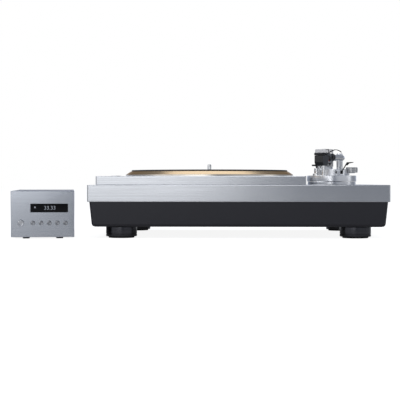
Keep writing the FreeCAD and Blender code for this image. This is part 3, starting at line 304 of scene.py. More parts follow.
def wear(piece, finish_name, node=None, body=None, slot=None, angle=32):
    """Gives a piece its finish and its body; one that names a node takes that node's place."""
    piece.data.materials.clear()
    piece.data.materials.append(material(finish_name))
    piece.data.name = piece.name
    smooth(piece, angle)
    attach(piece, body or BODY[node])
    if node:
        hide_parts(node)
    return piece


def turned(name, rings, place, finish_name, node=None, segments=96, closed=False, ribs=None,
           **worn):
    """A turned piece in its place, with its finish."""
    piece = lathe(name, rings, segments, closed)
    if ribs:
        ribbed(piece, *ribs)
    return wear(put(piece, place), finish_name, node, **worn)


def refined(node, name, finish_name, width=0.0003, segments=2, angle=30):
    """A merged copy of a node, with eased edges and smooth curves, that takes its place."""
    pick(NODES[node])
    bpy.ops.object.duplicate()
    piece = bpy.context.active_object
    piece.name = name
    del piece["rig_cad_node"]
    edit_all()
    bpy.ops.mesh.remove_doubles(threshold=2e-6)
    bpy.ops.mesh.dissolve_limited(angle_limit=math.radians(0.6))
    done()
    if width:
        eased(piece, width, segments, angle)
    return wear(piece, finish_name, node)


def painted(finish_name, *nodes):
    """Gives nodes whose shape is kept their finish."""
    for node in nodes:
        target = NODES[node]
        if not target.material_slots:
            target.data.materials.append(material(finish_name))
        for entry in target.material_slots:
            entry.material = material(finish_name)


def second_finish(piece, finish_name, wanted):
    """Gives the faces for which wanted(centre) holds another finish."""
    piece.data.materials.append(material(finish_name))
    edit(piece)
    bpy.ops.mesh.select_mode(type="FACE")
    shape = bmesh.from_edit_mesh(piece.data)
    for face in shape.faces:
        face.select_set(wanted(face.calc_center_median()))
    bmesh.update_edit_mesh(piece.data)
    piece.active_material_index = len(piece.data.materials) - 1
    bpy.ops.object.material_slot_assign()
    done()


def wire(name, points, radius, finish_name, body, slot):
    """A thin lead through points in world coordinates."""
    line = new(name, bpy.ops.curve.primitive_bezier_curve_add).data
    spline = line.splines[0]
    spline.bezier_points.add(len(points) - 2)
    for knot, point in zip(spline.bezier_points, points):
        knot.co = point
        knot.handle_left_type = knot.handle_right_type = "AUTO"
    line.bevel_depth = radius
    line.bevel_resolution = 3
    line.resolution_u = 8
    line.use_fill_caps = True
    bpy.ops.object.convert(target="MESH")
    bpy.ops.object.transform_apply()
    return wear(bpy.context.active_object, finish_name, body=body, slot=slot, angle=60)


def joined(name, parts):
    pick(parts[0])
    for part in parts:
        part.select_set(True)
    bpy.ops.object.join()
    piece = bpy.context.active_object
    piece.name = name
    return piece


def copy_of(piece, place):
    pick(piece)
    bpy.ops.object.duplicate()
    return put(bpy.context.active_object, place)


def lettering(name, words, size, place):
    """Numerals or digits as thin solid shapes, centred on their place."""
    text = new(name, bpy.ops.object.text_add).data
    text.body = words
    text.size = size * FONT_SIZE
    text.align_x = text.align_y = "CENTER"
    text.extrude = INLAY / 2
    text.resolution_u = 3
    bpy.ops.object.convert(target="MESH")
    edit_all()
    face_outwards(weld=1e-7)
    return put(bpy.context.active_object, place)


# Shared effects

def add(tree, kind, inputs=None, **fields):
    """Adds a shader node; each input gets a value or another node's output."""
    node = tree.nodes.new("ShaderNode" + kind)
    for label, value in fields.items():
        setattr(node, label, value)
    for label, value in (inputs or {}).items():
        if isinstance(value, bpy.types.NodeSocket):
            tree.links.new(value, node.inputs[label])
        else:
            node.inputs[label].default_value = value
    return node


def maths(tree, operation, *values):
    return add(tree, "Math", dict(enumerate(values)), operation=operation).outputs["Value"]


def spread_out(tree, value, low, high):
    """Stretches a narrow range of values over 0 to 1."""
    ends = {"Value": value, "From Min": low, "From Max": high}
    return add(tree, "MapRange", ends).outputs["Result"]


def noise(tree, place, scale, detail, roughness, dimensions="3D"):
    values = {"W" if dimensions == "1D" else "Vector": place, "Scale": scale,
              "Detail": detail, "Roughness": roughness}
    return add(tree, "TexNoise", values, noise_dimensions=dimensions).outputs["Fac"]


def effect_group(name, outputs, extra=None):
    """An empty group that takes a vector, and a number with its first value if one is named."""
    group = bpy.data.node_groups.new(name, "ShaderNodeTree")
    group.interface.new_socket(name="Vector", in_out="INPUT", socket_type="NodeSocketVector")
    for label, value in (extra or {}).items():
        entry = group.interface.new_socket(name=label, in_out="INPUT",
                                           socket_type="NodeSocketFloat")
        entry.default_value = value
    for label in outputs:
        group.interface.new_socket(name=label, in_out="OUTPUT", socket_type="NodeSocketFloat")
    given, result = (group.nodes.new("NodeGroup" + end) for end in ("Input", "Output"))
    return group, given.outputs, result.inputs


def make_grain():
    """Fine even texture, as on a moulding, a casting or paint."""
    tree, given, result = effect_group("fine_grain", ["Mask", "Height"])
    fine = noise(tree, given["Vector"], 1.0, 2.0, 0.55)
    tree.links.new(spread_out(tree, fine, 0.32, 0.68), result["Mask"])
    tree.links.new(fine, result["Height"])
    return tree


def make_streaks():
    """Brushed lines: the mapping before it stretches them."""
    tree, given, result = effect_group("brushed_lines", ["Mask", "Height"])
    fine = noise(tree, given["Vector"], 1.0, 5.0, 0.72)
    coarse = noise(tree, given["Vector"], 0.23, 3.0, 0.6)
    both = maths(tree, "ADD", maths(tree, "MULTIPLY", fine, 0.65),
                 maths(tree, "MULTIPLY", coarse, 0.35))
    tree.links.new(spread_out(tree, both, 0.36, 0.64), result["Mask"])
    tree.links.new(fine, result["Height"])
    return tree


def make_rings():
    """Lathe lines and even grooves about the Z axis of the mapped point."""
    tree, given, result = effect_group("turned_lines", ["Mask", "Height", "Groove"],
                                       {"Pitch": 1.0})
    split = add(tree, "SeparateXYZ", {"Vector": given["Vector"]}).outputs
    square = maths(tree, "ADD", maths(tree, "MULTIPLY", split["X"], split["X"]),
                   maths(tree, "MULTIPLY", split["Y"], split["Y"]))
    run = maths(tree, "ADD", maths(tree, "SQRT", square), split["Z"])
    turns = maths(tree, "DIVIDE", run, given["Pitch"])
    lines = noise(tree, turns, 1.0, 4.0, 0.7, "1D")
    tree.links.new(spread_out(tree, lines, 0.34, 0.66), result["Mask"])
    tree.links.new(lines, result["Height"])
    full_turn = 6.2832
    wave = maths(tree, "SINE", maths(tree, "MULTIPLY", turns, full_turn))
    tree.links.new(spread_out(tree, wave, -0.6, 0.6), result["Groove"])
    return tree


def make_handling():
    """Slow change of gloss over a surface, as handling and dust leave it."""
    tree, given, result = effect_group("handling", ["Change"], {"Amount": 0.05})
    slow = noise(tree, given["Vector"], 14.0, 3.0, 0.55)
    doubled = maths(tree, "MULTIPLY", maths(tree, "SUBTRACT", slow, 0.5), 2.0)
    tree.links.new(maths(tree, "MULTIPLY", doubled, given["Amount"]), result["Change"])
    return tree


EFFECT_MAKERS = {"grain": make_grain, "streaks": make_streaks, "rings": make_rings,
                 "handling": make_handling}
EFFECTS = {}


def effect(name):
    if name not in EFFECTS:
        EFFECTS[name] = EFFECT_MAKERS[name]()
    return EFFECTS[name]


def finish(name, colour, metallic, roughness, pattern, scale=1000, centre=(0, 0, 0), turn=0.0,
           pitch=None, contrast=0.06, spread=0.05, bump=0.1, depth=0.00005, handling=0.03,
           groove=False, **constants):
    """A material whose colour, gloss and relief follow one of the shared effects."""
    made = bpy.data.materials.new(name)
    made.use_nodes = True
    tree = made.node_tree
    tree.nodes.clear()
    point = add(tree, "TexCoord").outputs["Object"]
    centred = add(tree, "Mapping", {"Vector": point, "Location": [-v for v in centre]})
    centred = centred.outputs["Vector"]
    along = add(tree, "Mapping", {"Vector": centred, "Rotation": (0, 0, turn)}).outputs["Vector"]
    sizes = scale if isinstance(scale, tuple) else (scale, scale, scale)
    scaled = add(tree, "VectorMath", {0: along, 1: sizes}, operation="MULTIPLY")
    values = {"Vector": scaled.outputs["Vector"]}
    if pitch:
        values["Pitch"] = pitch
    shared = add(tree, "Group", values, node_tree=effect(pattern)).outputs
    mask = shared["Groove" if groove else "Mask"]
    height = shared["Groove" if groove else "Height"]
    low = [max(0.0, c * (1 - contrast)) for c in colour]
    high = [min(1.0, c * (1 + contrast)) for c in colour]
    colours = add(tree, "Mix", {0: mask, 6: (*low, 1), 7: (*high, 1)}, data_type="RGBA")
    gloss = add(tree, "MapRange", {"Value": mask, "To Min": roughness + spread,
                                   "To Max": max(0.03, roughness - spread)})
    touched = add(tree, "Group", {"Vector": centred, "Amount": handling},
                  node_tree=effect("handling"))
    values = {"Base Color": colours.outputs[2], "Metallic": metallic,
              "Roughness": maths(tree, "ADD", gloss.outputs["Result"], touched.outputs["Change"])}
    if bump:
        relief = add(tree, "Bump", {"Height": height, "Strength": bump, "Distance": depth})
        values["Normal"] = relief.outputs["Normal"]
    for label, value in constants.items():
        values[label.replace("_", " ")] = value
    surface = add(tree, "BsdfPrincipled", values)
    add(tree, "OutputMaterial", {"Surface": surface.outputs["BSDF"]})
    return made


LEADS = {"white": (0.60, 0.60, 0.58), "blue": (0.02, 0.07, 0.35),
         "green": (0.02, 0.20, 0.06), "red": (0.42, 0.015, 0.015)}


def finishes():
    """For each finish: colour, metal, roughness, pattern, its scale and what else it needs."""
    plinth, platter, arm, unit = (settings(group) for group in GROUPS)
    platter_axis = dict(centre=(PLATTER.x, PLATTER.y, 0))
    pod_axis = dict(centre=(POD.x, POD.y, 0))
    brushed = dict(contrast=0.07, depth=0.00004)
    chromed = dict(spread=0.02, bump=0.04, Coat_Weight=0.3, Coat_Roughness=0.05)
    return {
        "brushed_plate": (plinth.plate_colour, 1.0, 0.23, "streaks", (9, 2600, 2600), brushed),
        "base_moulding": (plinth.base_colour, 0.0, 0.42, "grain", 2400, dict(
            contrast=0.10, bump=0.25, depth=0.00006, Coat_Weight=0.10, Coat_Roughness=0.30)),
        "foot_anodised": (plinth.foot_colour, 1.0, 0.16, "streaks", (30, 30, 3600), dict(
            contrast=0.2)),
        "sole_rubber": ((0.012, 0.012, 0.012), 0.0, 0.75, "grain", 1800, dict(
            contrast=0.15, bump=0.3)),
        "turned_brass": (platter.brass_colour, 1.0, 0.24, "rings", 1, dict(
            platter_axis, pitch=0.00022, contrast=0.05, spread=0.04, bump=0.06, depth=0.00002,
            Specular_Tint=(0.80, 0.60, 0.40, 1))),
        "turned_rim": (platter.alloy_colour, 1.0, 0.30, "rings", 1, dict(
            platter_axis, pitch=0.00025, contrast=0.05, bump=0.08, depth=0.00002)),
        "mat_rubber": (platter.rubber_colour, 0.0, 0.62, "rings", 1, dict(
            platter_axis, pitch=0.0011, contrast=0.18, spread=0.08, bump=0.5, depth=0.00015,
            groove=True)),
        "polished_pin": ((0.78, 0.78, 0.77), 1.0, 0.12, "rings", 1, dict(
            platter_axis, pitch=0.0002, contrast=0.03, spread=0.02, bump=0.03, depth=0.00001)),
        "motor_casting": ((0.42, 0.42, 0.43), 0.9, 0.48, "grain", 1500, dict(
            contrast=0.10, bump=0.35, depth=0.00012)),
        "rotor_steel": ((0.40, 0.40, 0.41), 1.0, 0.38, "rings", 1, dict(
            platter_axis, pitch=0.0004, contrast=0.08)),
        "plain_weight": ((0.34, 0.34, 0.35), 1.0, 0.34, "grain", 1200, dict(contrast=0.10)),
        "bearing_bronze": ((0.50, 0.30, 0.12), 1.0, 0.30, "rings", 1, dict(
            platter_axis, pitch=0.0003, contrast=0.08)),
        "coil_board": ((0.48, 0.20, 0.07), 0.6, 0.40, "rings", 1, dict(
            platter_axis, pitch=0.0006, contrast=0.25, groove=True)),
        "satin_casting": (arm.casting_colour, 1.0, 0.33, "grain", 1900, dict(
            contrast=0.05, bump=0.15)),
        "pod_plate": (arm.casting_colour, 1.0, 0.27, "rings", 1, dict(
            pod_axis, pitch=0.00025, contrast=0.05, spread=0.04, bump=0.06, depth=0.00002)),
        "arm_satin": (arm.tube_colour, 1.0, 0.22, "grain", 2600, dict(
            contrast=0.03, spread=0.03, bump=0.05)),
        "gimbal_satin": ((0.46, 0.46, 0.47), 1.0, 0.27, "grain", 2600, dict(
            contrast=0.04, spread=0.03, bump=0.06)),
        "dial_satin": ((0.60, 0.60, 0.60), 1.0, 0.30, "streaks", (40, 40, 3200), dict(
            bump=0.08)),
        "arm_black": (arm.dark_colour, 0.4, 0.34, "grain", 2200, dict(
            contrast=0.15, bump=0.15)),
        "cartridge_body": ((0.012, 0.012, 0.013), 0.0, 0.28, "grain", 2600, dict(
            contrast=0.12, Coat_Weight=0.10, Coat_Roughness=0.12)),
        "dark_weight": (arm.weight_colour, 1.0, 0.28, "streaks", (60, 60, 3000), dict(
            contrast=0.10, bump=0.08)),
        "panel_brushed": (unit.panel_colour, 1.0, 0.20, "streaks", (12, 2600, 2600), dict(
            brushed, turn=-unit.turn)),
        "case_paint": (unit.case_colour, 0.7, 0.34, "grain", 1500, dict(
            contrast=0.10, bump=0.25, depth=0.00006)),
        "cover_paint": ((0.014, 0.014, 0.016), 0.0, 0.46, "grain", 1500, dict(
            contrast=0.18, bump=0.45, depth=0.00010)),
        "button_chrome": ((0.40, 0.41, 0.43), 1.0, 0.12, "grain", 1400, dict(
            chromed, contrast=0.05)),
        # The same chrome as the small buttons, painted lighter: a painted reflection that makes
        # the power button look brighter.
        "button_chrome_painted_bright": ((0.64, 0.65, 0.68), 1.0, 0.12, "grain", 1400, dict(
            chromed, contrast=0.04)),
        "button_satin": ((0.66, 0.67, 0.70), 1.0, 0.26, "rings", 1, dict(
            platter_axis, pitch=0.0003, contrast=0.05)),
        "smoked_glass": ((0.0025, 0.0024, 0.0040), 0.0, 0.06, "grain", 300, dict(
            contrast=0.1, spread=0.01, bump=0.0, handling=0.02, Specular_IOR_Level=0.22)),
        "numeral_ink": ((0.020, 0.020, 0.022), 0.0, 0.5, "grain", 2000, dict(contrast=0.1)),
        "lit_digits": (unit.digit_colour, 0.0, 0.5, "grain", 1500, dict(
            contrast=0.04, bump=0.0, Emission_Strength=0.30,
            Emission_Color=(*unit.digit_colour, 1))),
        "plated_contact": ((0.72, 0.55, 0.26), 1.0, 0.22, "grain", 1600, dict(bump=0.06)),
        "insulator_dark": ((0.013, 0.013, 0.014), 0.0, 0.45, "grain", 1600, dict(
            contrast=0.12, bump=0.15)),
        "insulator_white": ((0.62, 0.62, 0.60), 0.0, 0.45, "grain", 1600, dict(contrast=0.05)),
        "insulator_red": ((0.42, 0.012, 0.012), 0.0, 0.42, "grain", 1600, dict(contrast=0.10)),
        **{"lead_" + name: (shade, 0.0, 0.40, "grain", 1000, dict(bump=0.05))
           for name, shade in LEADS.items()},
        "board_green": ((0.012, 0.085, 0.030), 0.0, 0.38, "streaks", (700, 90, 700), dict(
            contrast=0.35, bump=0.3, Coat_Weight=0.4, Coat_Roughness=0.2)),
        "wound_wrap": ((0.016, 0.016, 0.016), 0.0, 0.5, "streaks", (500, 500, 60), dict(
            contrast=0.3, bump=0.6, depth=0.0003)),
        "screw_steel": ((0.55, 0.55, 0.55), 1.0, 0.25, "grain", 1500, dict(bump=0.05)),
    }


MATERIALS = {}


def material(name):
    """One of the finishes, made the first time that it is needed."""
    if name not in MATERIALS:
        colour, metallic, roughness, pattern, scale, more = finishes()[name]
        MATERIALS[name] = finish(name, colour, metallic, roughness, pattern, scale, **more)
    return MATERIALS[name]


# Stage

def studio_floor(colour, glow, shine):
    """Matt white that camera, glass and metal see as a pale background with soft shadows."""
    surface = bpy.data.materials.new("studio_white")
    surface.use_nodes = True
    tree = surface.node_tree
    tree.nodes.clear()
    rays = add(tree, "LightPath").outputs
    seen = maths(tree, "MAXIMUM", rays["Is Camera Ray"], rays["Is Transmission Ray"])
    mirrored = maths(tree, "MULTIPLY", rays["Is Glossy Ray"], shine)
    both = maths(tree, "MAXIMUM", maths(tree, "MULTIPLY", seen, glow), mirrored)
    matt = add(tree, "BsdfDiffuse", {"Color": (*colour, 1)}).outputs["BSDF"]
    light = add(tree, "Emission", {"Color": (1, 1, 1, 1), "Strength": both}).outputs["Emission"]
    shader = add(tree, "AddShader", {0: matt, 1: light}).outputs["Shader"]
    add(tree, "OutputMaterial", {"Surface": shader})
    return surface


def soft_light(name, place, target, size, brightness):
    """A softbox; brightness is what a mirror would show of it, with white as 1."""
    lamp = new(name, bpy.ops.object.light_add, type="AREA", location=place)
    lamp.data.shape = "RECTANGLE"
    lamp.data.size, lamp.data.size_y = size
    lamp.data.energy = brightness * math.pi * size[0] * size[1]
    lamp.rotation_euler = (target - place).to_track_quat("-Z", "Y").to_euler()


def studio_world(ambient, dome, sweep):
    """White behind for the camera; a soft dome for the light, with a white sweep at the back."""
    world = bpy.data.worlds.new("Studio")
    bpy.context.scene.world = world
    world.use_nodes = True
    tree = world.node_tree
    tree.nodes.clear()
    rays = add(tree, "LightPath").outputs
    tint = add(tree, "Mix", {0: rays["Is Camera Ray"], 6: (0.86, 0.94, 1.12, 1),
                             7: (1, 1, 1, 1)}, data_type="RGBA")
    way = add(tree, "TexCoord").outputs["Generated"]
    split = add(tree, "SeparateXYZ", {"Vector": way}).outputs
    behind = spread_out(tree, split["Y"], 0.55, 0.95)
    level = spread_out(tree, maths(tree, "ABSOLUTE", split["Z"]), 0.30, 0.12)
    white = maths(tree, "MULTIPLY", maths(tree, "MULTIPLY", behind, level), sweep)
    gloss = maths(tree, "MULTIPLY", rays["Is Glossy Ray"], maths(tree, "MAXIMUM", white, dome))
    through = maths(tree, "MAXIMUM", rays["Is Camera Ray"], rays["Is Transmission Ray"])
    diffuse = maths(tree, "MULTIPLY", rays["Is Diffuse Ray"], ambient)
    strength = maths(tree, "MAXIMUM", through, maths(tree, "MAXIMUM", gloss, diffuse))
    light = add(tree, "Background", {"Color": tint.outputs[2], "Strength": strength})
    add(tree, "OutputWorld", {"Surface": light.outputs["Background"]})


# Round the plinth: degrees to the right of straight in front, degrees up, width and height
# in degrees, metres away, and how bright a mirror would show it, with white as 1.
SOFTBOXES = (
    ("front_box", -9, 8, 18, 18, 2.6, 1.60),
    ("near_left_box", -27, 8, 18, 18, 2.6, 1.10),
    ("mid_left_box", -42, 8, 12, 18, 2.6, 0.42),
    ("far_left_box", -63.5, 8, 35, 18, 2.6, 0.52),
    ("high_left_box", -55, 28, 30, 20, 2.6, 2.20),
    ("high_side_box", -84, 28, 28, 20, 2.6, 2.20),
    ("high_front_box", -30, 28, 18, 20, 2.6, 0.32),
    ("far_right_box", 51, 8, 57, 18, 2.6, 0.32),
    ("right_side_box", 90, 18, 18, 38, 2.6, 0.86),
    ("right_back_box", 120, 25, 19, 19, 2.4, 0.36),
    ("back_box", 180, 65, 46, 22, 1.8, 1.13),
    ("left_top_box", -90, 65, 22, 22, 1.8, 0.92),
    ("top_box", 0, 88, 24, 20, 1.6, 1.30),
)
FLOOR_SIZE = 24
FLOOR_DROP = 0.0002
CAMERA_AWAY = 1.945
CAMERA_HEIGHT = 0.100
CAMERA_DOWN = 0.936
CAMERA_LEFT = 1.961


class MakeStage(bpy.types.Operator):
    """Adds the floor, the studio light and the camera"""
    bl_idname = "turntable.make_stage"
    bl_label = "Stage"

    def execute(self, context):
        floor = new("studio_floor", bpy.ops.mesh.primitive_grid_add, x_subdivisions=4,
                    y_subdivisions=4, size=FLOOR_SIZE, location=(0, 0, -FLOOR_DROP))
        bpy.ops.object.transform_apply()
        floor.data.materials.append(studio_floor((0.60, 0.60, 0.60), 0.90, 0.10))
        studio_world(0.20, 0.25, 0.85)
        aim = Vector((SLAB_CENTRE, FRONT + 0.1, 0.1))
        for name, side, lift, wide, tall, away, brightness in SOFTBOXES:
            side, lift = math.radians(side), math.radians(lift)
            way = Vector((math.sin(side) * math.cos(lift), -math.cos(side) * math.cos(lift),
                          math.sin(lift)))
            size = [2 * away * math.tan(math.radians(span / 2)) for span in (wide, tall)]
            soft_light(name, aim + way * away, aim, size, brightness)
        camera = new("studio_camera", bpy.ops.object.camera_add,
                     location=(SLAB_CENTRE, FRONT - CAMERA_AWAY, CAMERA_HEIGHT))
        camera.data.lens = 100
        camera.data.sensor_width = 36
        camera.rotation_euler = (math.radians(90 - CAMERA_DOWN), 0, math.radians(CAMERA_LEFT))
        camera.data.clip_start = 0.01
        camera.data.clip_end = 100
        context.scene.camera = camera
        context.scene.view_settings.view_transform = "Standard"
        return {"FINISHED"}


# Plinth and feet

class MakePlinth(bpy.types.Operator):
    """Dresses the slab, the base, the bottom cover and its screws"""
    bl_idname = "turntable.make_plinth"
    bl_label = "Plinth"

    def execute(self, context):
        painted("brushed_plate", "plinth_top", "motor_deck")
        refined("plinth_base", "base_shell", "base_moulding", width=0)
        painted("cover_paint", "bottom_cover")
        painted("screw_steel", "plinth_screws")
        return {"FINISHED"}


class MakeFeet(bpy.types.Operator):
    """Turns the four levelling feet with their damping soles"""
    bl_idname = "turntable.make_feet"
    bl_label = "Feet"

    def execute(self, context):
        groove = settings("plinth").foot_groove * 1000
        can = lathe("foot_can", [
            (9.05, 12.9), (9.05, 2.63), (26.7, 2.63), (27.4, 2.85), (27.7, 3.5), (27.7, 6.6),
            (27.7 - groove, 6.9), (27.7 - groove, 7.6), (27.7, 7.9), (27.7, 19.3),
            (27.45, 19.95), (26.8, 20.3), (6.8, 20.3), (6.0, 20.3), (6.0, 43.7), (5.4, 44.3)])
        pad = lathe("foot_pad", [(22.4, 0), (23.0, 0.25), (23.2, 0.8), (23.2, 2.6), (9.0, 2.6),
                                 (9.0, 12.6)], 80)
        kinds = ((can, "foot_anodised", "foot_collar_"), (pad, "sole_rubber", "foot_sole_"))
        for corner in ("front_left", "front_right", "rear_left", "rear_right"):
            spot = middle("foot_collar_" + corner)
            for pattern, finish_name, node in kinds:
                piece = copy_of(pattern, about(spot.x, spot.y))
                piece.name = pattern.name + "_" + corner
                wear(piece, finish_name, node + corner)
        for pattern in (can, pad):
            bpy.data.objects.remove(pattern)
        return {"FINISHED"}


# Platter and motor, in millimetres: the brass plate, the mat, its innermost ring's radius.
BRASS_THICKNESS = 6.3
MAT_THICKNESS = 2.5
LABEL_EDGE = 60.0
RIM_WEIGHTS = 12


class MakePlatter(bpy.types.Operator):
    """Turns the platter's rim, brass plate, mat, spindle and rim weights"""
    bl_idname = "turntable.make_platter"
    bl_label = "Platter"

    def execute(self, context):
        look = settings("platter")
        place = about(PLATTER.x, PLATTER.y)
        low, high = heights("platter_body")
        radius = 500 * (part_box("platter_top")[1][0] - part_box("platter_top")[0][0])
        web = high - 9.6
        inner = radius - 23.5
        turned("platter_rim", [
            (6.0, web - 10.0), (30.0, web - 10.0), (36.0, web), (inner - 6.0, web),
            (inner, low), (inner + 0.6, low), (radius - 1.2, low), (radius - 0.35, low + 0.35),
            (radius, low + 1.2), (radius, high - 0.35), (radius - 0.3, high), (6.0, high)],
            place, "turned_rim", "platter_body", look.segments, True)
        base, top = high, high + BRASS_THICKNESS
        taper = look.taper * 1000
        slope = taper / (top - base)
        turned("brass_plate", [
            (5.0, base), (radius - 0.2, base), (radius, base + 0.2),
            (radius - 0.25, base + 0.45), (radius - taper + slope * 0.7, top - 0.6),
            (radius - taper + 0.3, top - 0.25), (radius - taper - 0.5, top), (5.0, top)],
            place, "turned_brass", "platter_top", look.segments, True, angle=25)
        face = top + MAT_THICKNESS
        edge = radius - taper - look.mat_edge * 1000
        rings = [(5.0, top), (edge, top), (edge, face - 0.7), (edge - 0.2, face - 0.2),
                 (edge - 0.8, face)]
        groove = edge - 3.0
        while groove > LABEL_EDGE:
            rings += [(groove, face), (groove - 0.35, face - 0.35), (groove - 0.75, face - 0.35),
                      (groove - 1.1, face)]
            groove -= look.groove_pitch * 1000
        rings += [(52.4, face), (52.0, face - 0.5), (11.0, face - 0.5), (10.6, face), (5.0, face)]
        turned("record_mat", rings, place, "mat_rubber", "platter_mat", 192, True, angle=25)
        bottom, tip = heights("spindle")
        turned("centre_pin", [
            (4.5, bottom), (6.0, bottom + 1.0), (6.0, base), (5.0, base), (5.0, face - 0.3),
            (4.7, face), (3.6, face), (3.6, tip - 1.9), (3.45, tip - 1.1), (3.0, tip - 0.4),
            (2.3, tip - 0.08), (1.4, tip)], place, "polished_pin", "spindle", 64, angle=40)
        plug = lathe("rim_weight", [
            (7.6, low + 0.2), (8.0, low + 0.6), (8.0, low + 15.8), (7.4, low + 16.0)], 32)
        reach = (radius - 12.5) / 1000
        plugs = []
        for i in range(RIM_WEIGHTS):
            turn = math.radians(360 * (i + 0.5) / RIM_WEIGHTS)
            plugs.append(copy_of(plug, about(PLATTER.x + reach * math.cos(turn),
                                             PLATTER.y + reach * math.sin(turn))))
        bpy.data.objects.remove(plug)
        wear(joined("rim_weights", plugs), "plain_weight", "inertia_weights")
        return {"FINISHED"}


class MakeInnerParts(bpy.types.Operator):
    """Finishes the motor, the bearings and the electronics inside"""
    bl_idname = "turntable.make_inner_parts"
    bl_label = "Inner parts"

    def execute(self, context):
        for node, name, finish_name, width in (
                ("motor_housing", "motor_tray", "motor_casting", 0.0005),
                ("rotor", "rotor_can", "rotor_steel", 0.0004),
                ("stator", "coil_plate", "coil_board", 0),
                ("bearing_housing", "shaft_bearing", "bearing_bronze", 0.0004),
                ("arm_bushing", "pod_bushing", "bearing_bronze", 0.0004),
                ("control_board", "circuit_boards", "board_green", 0),
                ("transformer", "ring_transformer", "wound_wrap", 0)):
            refined(node, name, finish_name, width)
        return {"FINISHED"}


class MakeDeckButtons(bpy.types.Operator):
    """Turns the start button and the speed buttons, with their numerals"""
    bl_idname = "turntable.make_deck_buttons"
    bl_label = "Deck buttons"

    def execute(self, context):
        look = settings("plinth")
        for node, words in (("start_stop_button", ""), ("speed_button_33", "33"),
                            ("speed_button_45", "45"), ("speed_button_78", "78")):
            left, right = (1000 * corner[0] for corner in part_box(node))
            spot = middle(node)
            flange = (right - left) / 2
            radius = flange - 1.5
            bottom, top = heights(node)
            shoulder = 1000 * DECK_TOP - 5.2
            turned(node + "_cap", [
                (3.0, bottom), (3.0, shoulder - 2.0), (flange, shoulder - 2.0),
                (flange, shoulder), (radius, shoulder), (radius, top - 0.35),
                (radius - 0.12, top - 0.1), (radius - 0.4, top), (radius - 0.9, top),
                (radius - 1.3, top - 0.12), (radius - 2.4, top - 0.2)],
                about(spot.x, spot.y), "button_satin", node, 64)
            if words:
                place = about(spot.x, spot.y + 0.0105, DECK_TOP + 0.00004)
                numeral = lettering("numeral_" + words, words, look.numeral_size, place)
                wear(numeral, "numeral_ink", body="plinth", slot="base_charcoal")
        return {"FINISHED"}


# Arm pod: the scale on the height ring has a mark every two degrees, every fifth one long.
SCALE_MARKS = 45
SCALE_STEP = 2
SCALE_RADIUS = 0.04762
MARK_WIDTH = 0.00035
LONG_MARK = 0.0026
SHORT_MARK = 0.0016


class MakeArmPod(bpy.types.Operator):
    """Builds the height ring, the pod, its casting, dial, lifter, lever and arm rest"""
    bl_idname = "turntable.make_arm_pod"
    bl_label = "Arm pod"

    def ring_scale(self, place, height):
        """Thin marks round the front of the height ring."""
        marks = []
        for i in range(SCALE_MARKS):
            mark = new("mark", bpy.ops.mesh.primitive_grid_add, x_subdivisions=1,
                       y_subdivisions=1, size=1)
            mark.scale = (MARK_WIDTH, LONG_MARK if i % 5 == 0 else SHORT_MARK, 1)
            turn = SCALE_STEP * (i - (SCALE_MARKS - 1) / 2)
            marks.append(put(mark, place @ turned_by(turn, "Z")
                             @ about(0, -SCALE_RADIUS, height) @ turned_by(90, "X")))
        scale = joined("ring_scale", marks)
        edit_all(scale)
        bpy.ops.mesh.extrude_region_shrink_fatten(TRANSFORM_OT_shrink_fatten={"value": INLAY})
        face_outwards()
        wear(scale, "numeral_ink", body=BODY["height_ring"], slot="base_charcoal")

    def execute(self, context):
        place = about(POD.x, POD.y)
        low, high = heights("height_ring")
        turned("pod_ring", [
            (20.3, low), (47.0, low), (47.45, low + 0.15), (47.6, low + 0.6),
            (47.6, high - 1.6), (47.35, high - 1.4), (47.35, high - 1.0), (47.6, high - 0.8),
            (47.4, high - 0.2), (47.0, high), (20.3, high)],
            place, "pod_plate", "height_ring", 144, True, angle=40)
        self.ring_scale(place, (low + high) / 2000)
        bottom, top = heights("arm_carrier")
        plate = top - 11.5
        turned("pod_carrier", [
            (19.4, bottom), (20.0, bottom + 0.6), (20.0, plate), (48.2, plate),
            (48.7, plate + 0.2), (48.9, plate + 0.7), (48.9, top - 0.8), (48.7, top - 0.25),
            (48.2, top)], place, "pod_plate", "arm_carrier", 160, angle=40)
        refined("arm_base", "arm_casting", "satin_casting", 0.0004)
        spot = middle("lift_cylinder")
        base, cap = heights("lift_cylinder")
        turned("lifter_barrel", [
            (1.65, base), (8.0, base), (8.0, base + 2.8), (7.7, base + 3.5), (7.2, base + 3.8),
            (5.6, base + 3.8), (5.4, base + 4.0), (5.4, cap - 3.2), (5.1, cap - 3.0),
            (5.1, cap - 2.4), (5.4, cap - 2.2), (5.4, cap - 0.6), (4.8, cap), (1.65, cap)],
            about(spot.x, spot.y), "arm_satin", "lift_cylinder", 64, True)
        refined("lift_bar", "lift_rail", "arm_black", 0.0004)
        refined("cue_lever", "cue_handle", "arm_black")
        refined("arm_rest", "rest_post", "arm_satin")
        refined("rest_clip", "rest_strap", "arm_black", 0.0002)
        spot = middle("anti_skate_dial")
        base, cap = heights("anti_skate_dial")
        turned("bias_dial", [
            (2.55, base + 4.5), (2.55, base), (10.9, base), (11.7, base + 0.8),
            (11.7, base + 2.4), (11.3, base + 2.6), (11.3, base + 3.0), (11.7, base + 3.2),
            (11.7, cap - 2.2), (11.3, cap - 2.0), (11.3, cap - 1.6), (11.6, cap - 1.4),
            (11.3, cap - 0.5), (10.5, cap), (9.0, cap), (8.6, cap - 0.3)],
            about(spot.x, spot.y), "dial_satin", "anti_skate_dial",
            ribs=(base + 3.3, cap - 2.3, 3, -0.0003))
        return {"FINISHED"}


# Tonearm

# Metres from the pivot or the stylus along the arm: the tube's ends, bends and their radii.
TUBE_BACK = 0.020
REAR_BEND = 0.062
REAR_RADIUS = 0.070
FRONT_BEND = 0.115
FRONT_RADIUS = 0.045
TUBE_FRONT = 0.049


def arm_place():
    turn = -math.degrees(settings("arm").rest_angle)
    return about(PIVOT.x, PIVOT.y, TUBE_HEIGHT) @ turned_by(turn, "Z")


